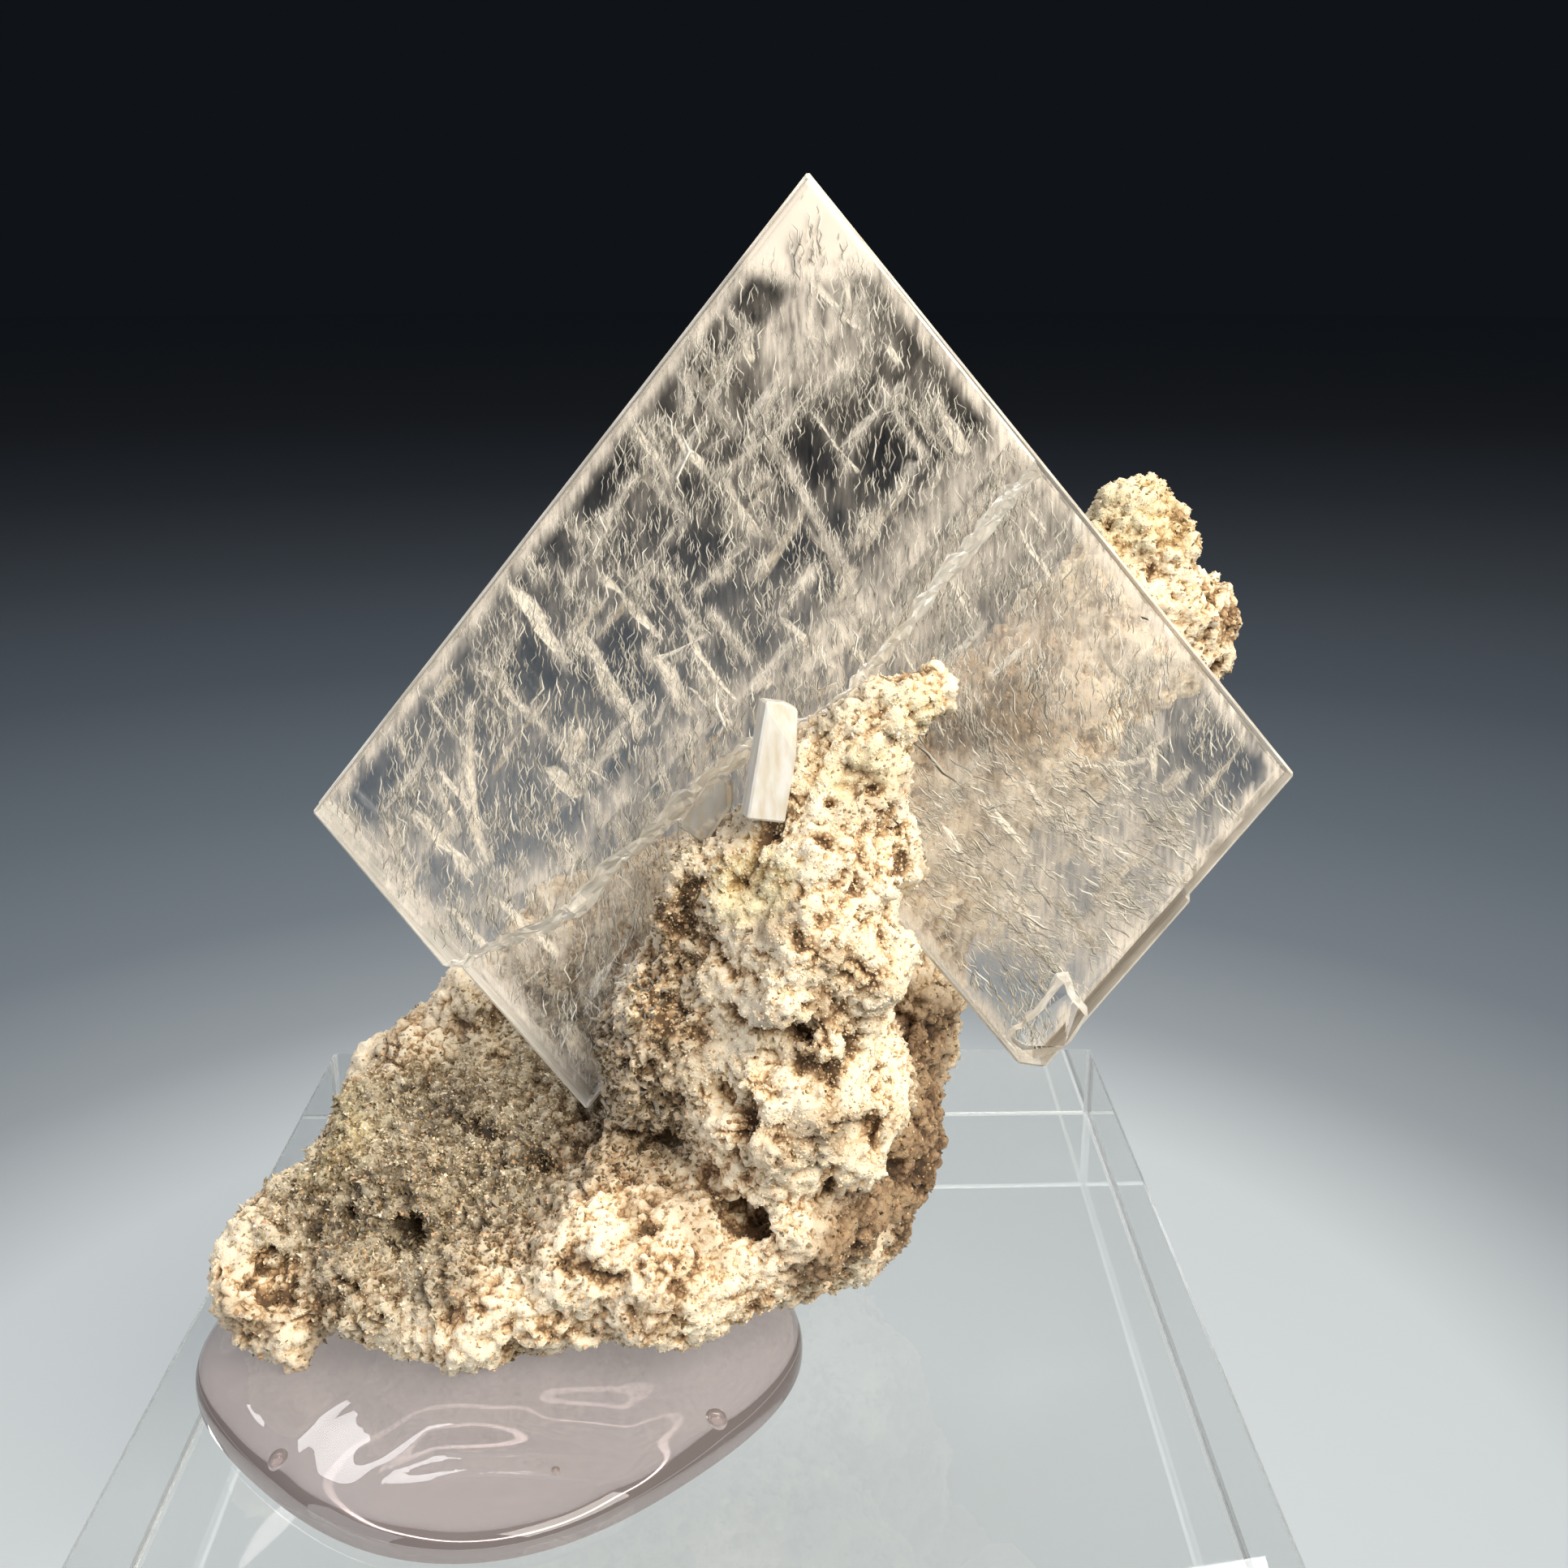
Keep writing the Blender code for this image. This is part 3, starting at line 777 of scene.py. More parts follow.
@dataclass(frozen=True)
class GelMount:
    """The poured gel under the rock: a low puddle with a soft rim, flow waves and bubbles."""

    node: str = "mounting_gel"
    squareness: float = 0.8
    rim_power: float = 16.0
    rim_height: float = 2.0
    sink: float = 0.32
    foot_zone: float = 0.001
    wave_size: float = 8.0
    wave_height: float = 0.3
    fold_reach: float = 1.3
    # Long soft folds in the gel's skin: each a height and the places that it passes.
    folds: tuple[tuple[float, Run], ...] = (
        (0.3, ((-27.5, -29.0), (-25.5, -26.5), (-24.6, -23.5), (-22.5, -21.5))),
        (0.32, ((-19.5, -28.0), (-17.0, -25.5), (-11.0, -25.4), (-4.0, -26.2), (2.0, -23.0))),
        (0.22, ((-18.5, -29.8), (-12.0, -29.2), (-5.0, -28.8))),
        (0.25, ((-9.0, -23.5), (-4.0, -23.2), (-1.5, -20.5))))
    bubbles: tuple[tuple[float, float, float, float], ...] = (
        (-26.6, -25.4, 20.0, 0.65), (1.6, -21.8, 20.1, 0.7), (-8.5, -27.5, 20.3, 0.3))

    def build(self) -> None:
        """Pour the puddle, wave its top and leave the bubbles in it."""
        low, high = (Vector(corner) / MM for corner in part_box(self.node))
        centre = (low + high) / 2
        radius = (high.x - low.x) / 2 - self.squareness
        height = high.z - low.z
        shape = bmesh.new()
        bmesh.ops.create_uvsphere(shape, u_segments=224, v_segments=144, radius=1.0)
        bmesh.ops.bisect_plane(shape, geom=shape.verts[:] + shape.edges[:] + shape.faces[:],
                               plane_co=(0, 0, 0), plane_no=(0, 0, -1), clear_outer=True)
        bmesh.ops.holes_fill(shape, edges=[e for e in shape.edges if e.is_boundary], sides=0)
        for spot in shape.verts:
            spot.co = self.pour(spot.co, centre, radius, height, low.z)
        for x, y, z, size in self.bubbles:
            made = bmesh.ops.create_icosphere(shape, subdivisions=3, radius=size * MM,
                                              matrix=Matrix.Translation(Vector((x, y, z)) * MM))
            faces = {face for spot in made["verts"] for face in spot.link_faces}
            bmesh.ops.reverse_faces(shape, faces=list(faces))
        gel = new_piece("gel_puddle", mesh_from(shape, "gel_puddle"))
        finish_piece(gel, [MountingGel("mounting_gel", colour="#D4C8C7", roughness=0.01,
                                                 ior=1.41, clearness=0.86).make()], smooth=True)
        gel.data.set_sharp_from_angle(angle=math.radians(50))
        let_light_through(gel)
        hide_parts(self.node)

    def pour(self, ball: Vector, centre: Vector, radius: float, height: float,
             foot: float) -> Vector:
        """Move a point of the unit dome to its place on the puddle.

        Args:
            ball: The point on the unit dome.
            centre: The middle of the gel's box, in millimetres.
            radius: The puddle's mean radius.
            height: The puddle's height.
            foot: The height that the gel's solid starts at.

        Returns:
            The point's place, in metres.
        """
        flat = ball.xy
        reach = min(flat.length, 1.0)
        spread = radius + self.squareness * math.cos(4 * math.atan2(flat.y, flat.x))
        crown = self.rim_height + (height - self.rim_height) * (1.0 - reach) ** 1.5
        rise = crown * (1.0 - reach ** self.rim_power) ** (1.0 / 2.2)
        if ball.z <= self.foot_zone:
            rise = -self.sink
        place = Vector((centre.x + flat.x * spread, centre.y + flat.y * spread, foot + rise))
        if ball.z > self.foot_zone:
            wave = noise.fractal(place / self.wave_size, 1.0, 2.0, 2)
            edge = 1.0 - reach ** 6
            place.z += (self.wave_height * wave + self.fold_at(place)) * edge
        return place * MM

    def fold_at(self, place: Vector) -> float:
        """Give how far the folds lift the gel's skin at a place.

        Args:
            place: The place, in millimetres.

        Returns:
            The lift, in millimetres.
        """
        lift = 0.0
        for height, path in self.folds:
            for start, end in zip(path, path[1:]):
                run = Vector(end) - Vector(start)
                share = min(max((place.xy - Vector(start)).dot(run) / run.length_squared, 0), 1)
                away = (place.xy - Vector(start) - run * share).length / self.fold_reach
                lift = max(lift, height * math.exp(-away * away))
        return lift


@dataclass(frozen=True)
class Groove:
    """A hollow in the rock along a short run, in millimetres."""

    start: tuple[float, float, float]
    end: tuple[float, float, float]
    reach: float
    depth: float

    def depth_at(self, spot: Vector) -> float:
        """Give how deep the hollow is at a spot.

        Args:
            spot: The spot, in millimetres.

        Returns:
            The depth, in millimetres.
        """
        start, run = Vector(self.start), Vector(self.end) - Vector(self.start)
        share = min(max((spot - start).dot(run) / run.length_squared, 0.0), 1.0)
        away = (spot - start - run * share).length / self.reach
        if away >= 2.2:
            return 0.0
        away += 0.7 * noise.fractal(spot / 1.1, 0.8, 2.1, 2)
        return 0.8 * self.depth * min(max(1.15 - away / 1.1, 0.0), 1.0)


@dataclass(frozen=True)
class RockMatrix:
    """The porous rock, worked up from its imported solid, with its crust of tiny crystals."""

    node: str = "matrix"
    voxel: float = 0.36
    stain: float = 5.5
    lump_size: float = 4.2
    crumb_size: float = 1.25
    ridge_size: float = 1.3
    pore_size: float = 1.7
    grey: tuple[Patch, ...] = (
        Patch((-20.0, -12.0, 36.0), (13.0, 12.0, 11.0)),
        Patch((-12.0, -8.0, 42.0), (9.0, 10.0, 8.0), 0.9),
        Patch((-24.0, -19.0, 30.0), (7.0, 5.0, 4.0), 0.6))
    # Brown patches: partly the rock's own staining, and partly painted shade on its shaded flanks
    # and rear, and on the chip and the knob where the key light falls hardest.
    brown: tuple[Patch, ...] = (
        Patch((-1.5, -15.5, 52.0), (4.0, 4.5, 11.0), 0.3),
        Patch((-5.0, -13.0, 40.0), (8.0, 6.0, 7.0), 0.6),
        Patch((-10.0, -16.0, 31.0), (9.0, 6.0, 4.0), 0.4),
        Patch((16.0, -8.0, 34.0), (6.0, 9.0, 12.0)),
        Patch((10.0, 6.0, 45.0), (22.0, 9.0, 24.0), 0.7),
        Patch((20.0, 0.0, 68.0), (10.0, 8.0, 9.0)),
        Patch((12.0, -16.0, 31.0), (6.0, 6.0, 5.0)),
        Patch((13.0, -18.0, 68.0), (5.0, 5.0, 4.5), 0.2),
        Patch((30.0, 2.0, 83.0), (9.0, 9.0, 10.0), 0.25))
    yellow: tuple[Patch, ...] = (
        Patch((-26.0, -8.0, 35.0), (4.0, 6.0, 4.0), 0.5),
        Patch((13.0, -19.0, 67.5), (5.0, 5.0, 4.5), 0.6),
        Patch((30.0, 2.0, 82.0), (8.0, 8.0, 9.0), 0.45),
        Patch((4.0, -18.5, 58.0), (3.5, 3.0, 3.0), 0.6))

    # Holes, the hollow under the ledge and the furrow down the spine's left side.
    grooves: tuple[Groove, ...] = (
        Groove((2.6, -19.5, 42.8), (3.4, -19.8, 41.8), 1.3, 3.6),
        Groove((3.6, -18.1, 33.7), (5.2, -18.3, 33.4), 1.1, 3.2),
        Groove((-29.2, -17.5, 28.9), (-28.2, -17.9, 28.5), 1.4, 3.0),
        Groove((5.0, -17.3, 61.5), (4.6, -17.4, 60.6), 0.9, 2.4),
        Groove((-15.7, -9.5, 36.1), (-14.2, -9.9, 36.0), 0.8, 2.4),
        Groove((2.9, -18.4, 48.7), (11.0, -18.9, 46.4), 0.8, 2.2),
        Groove((0.3, -15.9, 57.0), (-0.6, -16.2, 51.5), 0.8, 0.9),
        Groove((-0.6, -16.2, 51.5), (-1.8, -16.6, 45.5), 0.8, 0.9),
        Groove((13.3, -17.3, 60.4), (14.4, -16.6, 57.4), 0.8, 1.2),
        Groove((11.3, -20.3, 40.7), (12.2, -19.6, 39.4), 0.8, 1.3),
        Groove((5.2, -20.3, 46.3), (9.5, -20.0, 44.8), 1.0, 1.4),
        Groove((14.6, -10.4, 32.8), (13.6, -12.0, 36.0), 0.9, 1.4),
        Groove((-11.0, -12.0, 35.2), (-9.8, -12.4, 34.0), 0.7, 2.0),
        Groove((-7.8, -21.9, 32.3), (-6.0, -21.8, 31.6), 1.0, 1.2),
        Groove((10.5, -18.6, 65.0), (13.5, -18.2, 65.3), 0.7, 1.9),
        Groove((7.0, -20.5, 55.0), (7.6, -20.4, 53.6), 0.9, 1.2))

    def build(self) -> Mesh:
        """Work up the rock and return its mesh, for the crust to grow on.

        Returns:
            The rock's mesh.
        """
        rock = new_piece("rock", mesh_from(merged_copy(self.node), "rock"))
        remesh = rock.modifiers.new("Fine mesh", "REMESH")
        remesh.mode = "VOXEL"
        remesh.voxel_size = self.voxel * MM
        graph = bpy.context.evaluated_depsgraph_get()
        fine = bpy.data.meshes.new_from_object(rock.evaluated_get(graph))
        rock.modifiers.clear()
        rock.data = fine
        self.soften(fine)
        self.crumble(fine)
        self.mark_zones(fine)
        finish_piece(rock, [PorousRock("porous_rock", roughness=0.9).make()],
                     smooth=True)
        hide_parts(self.node)
        return fine

    def soften(self, mesh: Mesh) -> None:
        """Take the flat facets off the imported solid's form.

        Args:
            mesh: The rock's fine mesh.
        """
        shape = bmesh.new()
        shape.from_mesh(mesh)
        for _ in range(4):
            bmesh.ops.smooth_vert(shape, verts=shape.verts, factor=0.5, use_axis_x=True,
                                  use_axis_y=True, use_axis_z=True)
        shape.to_mesh(mesh)
        shape.free()

    def crumble(self, mesh: Mesh) -> None:
        """Raise knobs and crumbs and sink pores, and store how high each point stands.

        Args:
            mesh: The rock's softened mesh.
        """
        spots = corner_array(mesh)
        normals = np.empty(len(mesh.vertices) * 3)
        mesh.vertices.foreach_get("normal", normals)
        normals = normals.reshape(-1, 3)
        calm = patch_level(spots / MM, self.grey)
        relief = np.array([self.relief_at(Vector(spot) / MM, level)
                           for spot, level in zip(spots, calm)])
        moved = spots + normals * relief[:, None] * MM
        mesh.vertices.foreach_set("co", moved.ravel())
        mesh.update()
        # The stored height paints shade later: the rock and its crust come out darker in the
        # hollows.
        store_attribute(mesh, "relief", soft_step(relief, -0.8, 0.25))

    def relief_at(self, spot: Vector, calm: float) -> float:
        """Give the height of the crumbly surface above the solid, in millimetres.

        Args:
            spot: A place on the solid's surface.
            calm: How even the surface is there, from zero to one.

        Returns:
            The height.
        """
        lump = noise.fractal(spot / self.lump_size, 0.8, 2.1, 4)
        warped = spot + noise.noise_vector(spot) * 0.7
        near, far = noise.voronoi(warped / self.crumb_size)[0][:2]
        crumb = min((far - near) / 0.4, 1.0)
        ridge = noise.fractal(warped / self.ridge_size + Vector((7, 3, 1)), 0.9, 2.2, 3)
        ridge = 1.0 - abs(ridge)
        pore = noise.fractal(spot / self.pore_size + Vector((2, 9, 5)), 1.0, 2.0, 2)
        height = 0.45 * (1.0 - 0.5 * calm) * lump
        height += (0.5 + 0.15 * calm) * (crumb - 0.6) + 0.65 * (ridge - 0.8)
        height -= min(max((pore - 0.52) / 0.3, 0.0), 1.0)
        return height - max(groove.depth_at(spot) for groove in self.grooves)

    def mark_zones(self, mesh: Mesh) -> None:
        """Store where the rock is grey, brown and yellow.

        Args:
            mesh: The rock's mesh.
        """
        spots = corner_array(mesh) / MM
        jitter = np.array([noise.noise_vector(Vector(spot) / 4.0) for spot in spots]) * 3.0
        store_attribute(mesh, "grey", patch_level(spots + jitter, self.grey))
        stain = np.array([noise.fractal(Vector(spot) / self.stain, 0.8, 2.1, 3)
                          for spot in spots])
        # The brown share: random staining from the stain noise, and the brown patches, which are
        # partly painted shade.
        brown = np.maximum(patch_level(spots + jitter, self.brown),
                           0.6 * soft_step(stain, -0.1, 0.75))
        store_attribute(mesh, "brown", brown)
        store_attribute(mesh, "yellow", patch_level(spots + jitter, self.yellow))


class Grain(Enum):
    """The forms of the crust's tiny crystals."""

    NEEDLE = "needle"
    SUGAR = "sugar"
    POINT = "point"


@dataclass(frozen=True)
class Crust:
    """One crust of tiny crystals on the rock."""

    name: str
    grain: Grain
    count: int
    size: float
    finish: TonedGrains
    zones: tuple[Patch, ...]
    elsewhere: float
    seed: int
    lean: float = 0.5

    def template(self) -> Template:
        """Make one grain, a unit across, standing on the origin.

        Returns:
            The grain.
        """
        shape = bmesh.new()
        if self.grain is Grain.POINT:
            bmesh.ops.create_cone(shape, segments=6, radius1=0.16, radius2=0.15, depth=1.0,
                                  cap_ends=True)
            tip = bmesh.ops.poke(shape, faces=[f for f in shape.faces if f.normal.z > 0.9])
            bmesh.ops.translate(shape, vec=(0, 0, 0.2), verts=tip["verts"])
            bmesh.ops.translate(shape, vec=(0, 0, 0.35), verts=shape.verts)
        else:
            bmesh.ops.create_uvsphere(shape, u_segments=4, v_segments=2, radius=0.5)
            slim = self.grain is Grain.NEEDLE
            bmesh.ops.scale(shape, vec=(0.6, 0.5, 1.3) if slim else (1.0, 0.8, 0.9),
                            verts=shape.verts)
        return Template.from_shape(shape)

    def build(self, ground: Mesh) -> None:
        """Grow the crust on the rock's mesh.

        Args:
            ground: The rock's mesh, with its relief.
        """
        rng = np.random.default_rng(self.seed)
        ground.calc_loop_triangles()
        corners = np.empty(len(ground.loop_triangles) * 3, dtype=np.int64)
        ground.loop_triangles.foreach_get("vertices", corners)
        corners = corners.reshape(-1, 3)
        spots = corner_array(ground)
        a, b, c = (spots[corners[:, i]] for i in range(3))
        across = np.cross(b - a, c - a)
        area = np.linalg.norm(across, axis=1)
        normals = across / np.maximum(area, 1e-12)[:, None]
        middle = (a + b + c) / 3 / MM
        share = area * np.maximum(patch_level(middle, self.zones), self.elsewhere)
        share *= self.open_air(middle, normals)
        chosen = rng.choice(len(area), size=self.count, p=share / share.sum())
        u, v = rng.random((2, self.count))
        folded = u + v > 1
        u[folded], v[folded] = 1 - u[folded], 1 - v[folded]
        places = a[chosen] + u[:, None] * (b - a)[chosen] + v[:, None] * (c - a)[chosen]
        sizes = self.size * MM * rng.lognormal(0.0, 0.3, self.count)
        if self.grain is Grain.SUGAR:
            turns = random_turns(rng, self.count)
        else:
            turns = upright_turns(rng, normals[chosen], self.lean)
        relief, brown = (read_attribute(ground, name)[corners[chosen, 0]]
                         for name in ("relief", "brown"))
        # Painted shade: grains come out darker in the rock's hollows and on its brown zone, which
        # is partly painted shade; the random share is each grain's own tone.
        tones = 0.6 * relief + 0.4 * rng.random(self.count) - 0.65 * brown
        mesh = repeat_template(self.name, self.template(), turns * sizes[:, None, None],
                               places, tones)
        finish_piece(new_piece(self.name, mesh), [self.finish.make()], smooth=False)

    def open_air(self, spots: Array, normals: Array) -> Array:
        """Give one where a grain can grow, and zero in the gel and in the crystal plate.

        Args:
            spots: Places on the rock, in millimetres.
            normals: The rock's direction at each.

        Returns:
            One or zero for each spot.
        """
        local = (np.array(PlateFrame.matrix().inverted()) @ np.c_[
            spots * MM, np.ones(len(spots))].T).T[:, :3]
        inside = (local[:, 2] > PLATE_BACK) & (local[:, 2] < PLATE_FRONT - 1.0)
        inside &= PlateFrame.contains(local[:, :2], 0.0)
        soaked = (spots[:, 2] < 22.0) & (normals[:, 2] < 0.2)
        return np.where(inside | soaked, 0.0, 1.0)


class PlateFrame:
    """The crystal plate's place and outline."""

    @staticmethod
    def matrix() -> Matrix:
        """Give the matrix from the plate's millimetres to the scene's metres."""
        turn = Euler((math.pi / 2 - PLATE_LEAN, 0, PLATE_TURN)).to_matrix().to_4x4()
        return Matrix.Translation(Vector(PLATE_ORIGIN) * MM) @ turn @ Matrix.Scale(MM, 4)

    @staticmethod
    def along(spots: Array) -> Array:
        """Give each spot's way down the left side and down the right side, in two rows."""
        ways = np.array((PLATE_LEFT_DIRECTION, PLATE_RIGHT_DIRECTION)).T
        return np.linalg.inv(ways) @ (spots - np.array(PLATE_TOP)).T

    @staticmethod
    def inset_of(spots: Array) -> Array:
        """Give how far inside the outline each spot lies; outside it is below zero.

        Args:
            spots: Places on the plate, one in each row.

        Returns:
            One distance for each spot.
        """
        u, v = PlateFrame.along(spots)
        notch = np.maximum(PLATE_LOWER_RIGHT_EDGE - u, PLATE_LOWER_LEFT_EDGE - v)
        return PLATE_SKEW * np.min([u, PLATE_LEFT_EDGE - u, v, PLATE_RIGHT_EDGE - v, notch],
                                   axis=0)

    @staticmethod
    def contains(spots: Array, inset: float) -> Array:
        """Say which spots lie inside the outline, at least the inset from its edges."""
        return PlateFrame.inset_of(spots) > inset

    @staticmethod
    def front_at(spots: Array) -> Array:
        """Give the height of the plate's front face: the thick layer or the thin one.

        Args:
            spots: Places on the plate, one in each row.

        Returns:
            One height for each spot.
        """
        line = np.array(FRONT_STEP)
        edge = np.interp(spots[:, 0], line[:, 0], line[:, 1])
        return np.where(spots[:, 1] > edge + STEP_SLOPE, PLATE_FRONT, 0.0)


@dataclass(frozen=True)
class CrystalPlate:
    """The clear crystal: its etched sides, its clouds, its healed cracks and its threads."""

    node: str = "main_crystal"
    seed: int = 5
    # The milky layers: how deep each lies and how strongly it shows.
    layers: Run = ((-4.9, 0.28), (-2.2, 0.28), (2.4, 0.32))
    haze: float = 0.07
    rim_milk: float = 1.2
    step_milk: float = 0.5
    sheet_steps: int = 170
    chip_size: float = 0.7
    clouds: tuple[Patch, ...] = (
        Patch((4.5, 21.0), (5.0, 4.0), 0.35),
        Patch((22.0, -15.0), (12.0, 7.0), 0.6),
        Patch((12.0, -12.0), (9.0, 8.0), 0.3),
        Patch((26.0, -1.0), (8.0, 7.0), 0.2),
        Patch((-23.0, -15.0), (5.0, 4.0), 0.3),
        Patch((4.0, 1.0), (8.0, 4.0), 0.2),
        Patch((-13.0, -21.0), (7.0, 5.0), 0.1))
    # Smooth milky regions, not cut by the cleavages.
    veils: tuple[Patch, ...] = (
        Patch((3.9, 30.5), (6.5, 5.5), 9.0),
        Patch((21.0, 2.0), (12.0, 10.0), 0.3),
        Patch((21.0, -13.0), (12.0, 9.0), 0.35))
    windows: tuple[Patch, ...] = (
        Patch((-3.7, 23.2), (2.5, 3.5), 0.9),
        Patch((-15.1, 8.1), (4.0, 3.0), 0.8),
        Patch((-3.8, 4.7), (4.0, 5.0), 0.7),
        Patch((32.2, -8.6), (3.0, 4.0), 0.2),
        Patch((20.7, -24.4), (3.0, 2.5), 0.7),
        Patch((13.8, 13.0), (3.0, 5.0), 0.7),
        Patch((16.5, 9.6), (3.0, 3.0), 0.8),
        Patch((0.5, 0.4), (4.0, 3.5), 0.6),
        Patch((-8.8, -11.2), (4.0, 4.0), 0.8),
        Patch((-26.5, -9.5), (3.0, 3.0), 0.7))
    # Healed cracks, as runs along the plate; each pair is a place on it.
    cracks: tuple[Run, ...] = (
        ((0.3, 20.9), (-2.6, 15.2), (-5.5, 10.4)), ((-7.6, 15.2), (-5.0, 11.4)),
        ((-6.2, 15.0), (-5.2, 12.2)), ((-7.2, 11.4), (-9.6, 7.4), (-11.7, 4.1)),
        ((0.6, 15.7), (4.3, 10.0)), ((4.3, 10.0), (6.4, 5.7), (8.0, 1.8)),
        ((6.4, 18.8), (2.1, 14.7), (-1.8, 11.5)), ((-1.8, 11.7), (0.6, 7.6)),
        ((0.4, 7.6), (-3.1, 4.2)), ((-5.3, 5.6), (-3.3, 2.0)), ((-2.1, 2.9), (0.2, 0.0)),
        ((-15.6, 4.8), (-13.7, 2.1)), ((-16.7, -0.9), (-15.0, -2.9)), ((-4.2, 18.6), (-3.8, 16.2)),
        ((-3.5, 20.4), (-2.1, 18.6)), ((-14.4, 7.0), (-13.2, 5.3)), ((-11.7, 9.0), (-10.4, 7.5)),
        ((7.4, 7.4), (9.6, 10.3)), ((10.3, 11.4), (6.9, 7.2)),
        ((17.8, 14.0), (14.4, 8.5), (10.4, 2.7), (8.1, -0.5)), ((15.8, 8.8), (14.1, 6.5)),
        ((14.5, -14.8), (19.2, -19.3), (23.5, -23.8)),
        ((17.6, -9.9), (24.0, -12.4), (30.7, -15.5)), ((22.1, -7.6), (26.9, -7.1)),
        ((-18.2, -3.4), (-18.8, -8.4), (-17.6, -13.9)), ((-15.2, -2.9), (-8.1, -9.4)),
        ((-11.3, 1.5), (-7.0, -5.0)), ((-24.1, -11.2), (-22.1, -16.2)),
        ((-20.8, -8.4), (-19.2, -11.7)), ((-6.4, 0.4), (-3.7, -3.9)), ((2.1, 17.8), (0.6, 15.3)),
        ((9.0, 17.3), (11.6, 13.2)), ((12.1, 16.3), (13.8, 13.2)), ((-2.7, -1.1), (-0.8, -4.9)),
        ((-9.6, 3.6), (-11.8, 0.4)), ((4.8, 5.9), (2.2, 2.6)))
    small_cracks: int = 70
    crack_strength: float = 0.55
    crack_core: float = 0.26
    crack_halo: float = 0.6
    # A broad pale cleavage band beside the step: its run, half width and strength.
    band: Run = ((17.9, 14.4), (8.3, -0.8))
    band_reach: float = 1.1
    thread_bends: tuple[float, ...] = (0.03, 0.05, 0.1)
    threads: int = 8000
    streaked: Patch = Patch((20.0, -14.0), (15.0, 10.0))
    streak_turn: float = 1.0

    def build(self) -> None:
        """Dress the plate and fill it."""
        self.build_body()
        self.build_clouds()
        self.build_cracks()
        for batch, bend in enumerate(self.thread_bends):
            self.build_threads(batch, bend)
        self.build_inclusion()

    def build_body(self) -> None:
        """Copy the plate's solid and give its sides their own etched finish."""
        shape = merged_copy(self.node)
        bmesh.ops.dissolve_limit(shape, angle_limit=math.radians(0.5), verts=shape.verts,
                                 edges=shape.edges)
        shape.transform(PlateFrame.matrix().inverted())
        shape.normal_update()
        for face in shape.faces:
            if abs(face.normal.z) < 0.97:
                deep = PlateFrame.contains(np.array([face.calc_center_median().xy]), 1.0)[0]
                face.material_index = BROKEN_FACE if deep else ETCHED_FACE
        self.roughen(shape)
        shape.transform(PlateFrame.matrix())
        body = new_piece("crystal_plate", mesh_from(shape, "crystal_plate"))
        clear = ClearBarite("clear_barite", roughness=0.03, ior=1.636, clearness=1.0)
        side = EtchedSide("etched_barite", roughness=0.38, ior=1.636, clearness=0.45)
        broken = EtchedSide("broken_barite", roughness=0.35, ior=1.636, clearness=0.55)
        finish_piece(body, [clear.make(), side.make(), broken.make()],
                     smooth=False)
        let_light_through(body)
        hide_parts(self.node)

    def roughen(self, shape: Shape) -> None:
        """Break the smooth faces of the step into small ragged ones.

        Args:
            shape: The plate's body, in its own millimetres.
        """
        for _ in range(4):
            edges = [edge for edge in shape.edges if edge.calc_length() > self.chip_size
                     and any(face.material_index == BROKEN_FACE for face in edge.link_faces)]
            bmesh.ops.subdivide_edges(shape, edges=edges, cuts=1, use_grid_fill=True)
            broken = [face for face in shape.faces if face.material_index == BROKEN_FACE]
            bmesh.ops.triangulate(shape, faces=broken)
        spots = [spot for spot in shape.verts
                 if any(face.material_index == BROKEN_FACE for face in spot.link_faces)]
        for spot in spots:
            if PlateFrame.contains(np.array([spot.co.xy]), 1.0)[0]:
                shift = noise.noise_vector(spot.co / 0.9) * 0.45
                shift += noise.noise_vector(spot.co / 3.0) * 0.5
                inner = 0.05 < spot.co.z < PLATE_FRONT - 0.05
                spot.co += shift * Vector((1.0, 1.0, 1.0 if inner else 0.0))

    def cloud_level(self, spots: Array) -> Array:
        """Give how milky the plate is at each spot on it, apart from its cracks.

        Args:
            spots: Places on the plate, one in each row.

        Returns:
            One level for each spot.
        """
        level = self.haze + patch_level(spots, self.clouds)
        level *= 1.0 - patch_level(spots, self.windows)
        level *= self.lozenge_level(spots)
        level += self.step_milk * soft_step(run_distance(spots, FRONT_STEP), 4.6, 1.8)
        return level + self.rim_milk * soft_step(PlateFrame.inset_of(spots), 1.5, 0.3)

    def lozenge_level(self, spots: Array) -> Array:
        """Give each lozenge between the cleavages its own milkiness, with clear sides.

        Args:
            spots: Places on the plate, one in each row.

        Returns:
            One level for each spot.
        """
        bent = spots + drift(spots, 2.0, 1.0, 0.35)
        levels = np.random.default_rng(self.seed + 3).choice(
            (0.3, 0.6, 0.9, 1.2, 1.5), (40, 40))
        cells = [np.searchsorted(lines, way)
                 for lines, way in zip(self.cleavage_lines(), PlateFrame.along(bent))]
        return levels[cells[0], cells[1]]

    def crack_level(self, spots: Array) -> Array:
        """Give how strongly healed cracks show at each spot: wavy lines in soft halos.

        Args:
            spots: Places on the plate, one in each row.

        Returns:
            One level for each spot.
        """
        bent = spots + (drift(spots, 2.2, 3.0, 0.5) + drift(spots, 0.7, 8.0, 0.16))
        level = 0.7 * soft_step(run_distance(bent, self.band), self.band_reach, 0.2)
        for index, run in enumerate(self.crack_runs()):
            strength = 1.0 if index < len(self.cracks) else 0.5
            away = run_distance(bent, run)
            line = 0.65 * np.exp(-(away / self.crack_core) ** 2)
            line += 0.35 * np.exp(-(away / self.crack_halo) ** 2)
            level = np.maximum(level, strength * line)
        broken = mottling(np.c_[spots / 1.6, np.full(len(spots), 5.0)], 0.9, 3)
        return level * (0.35 + 0.65 * soft_step(broken, -0.35, 0.3))

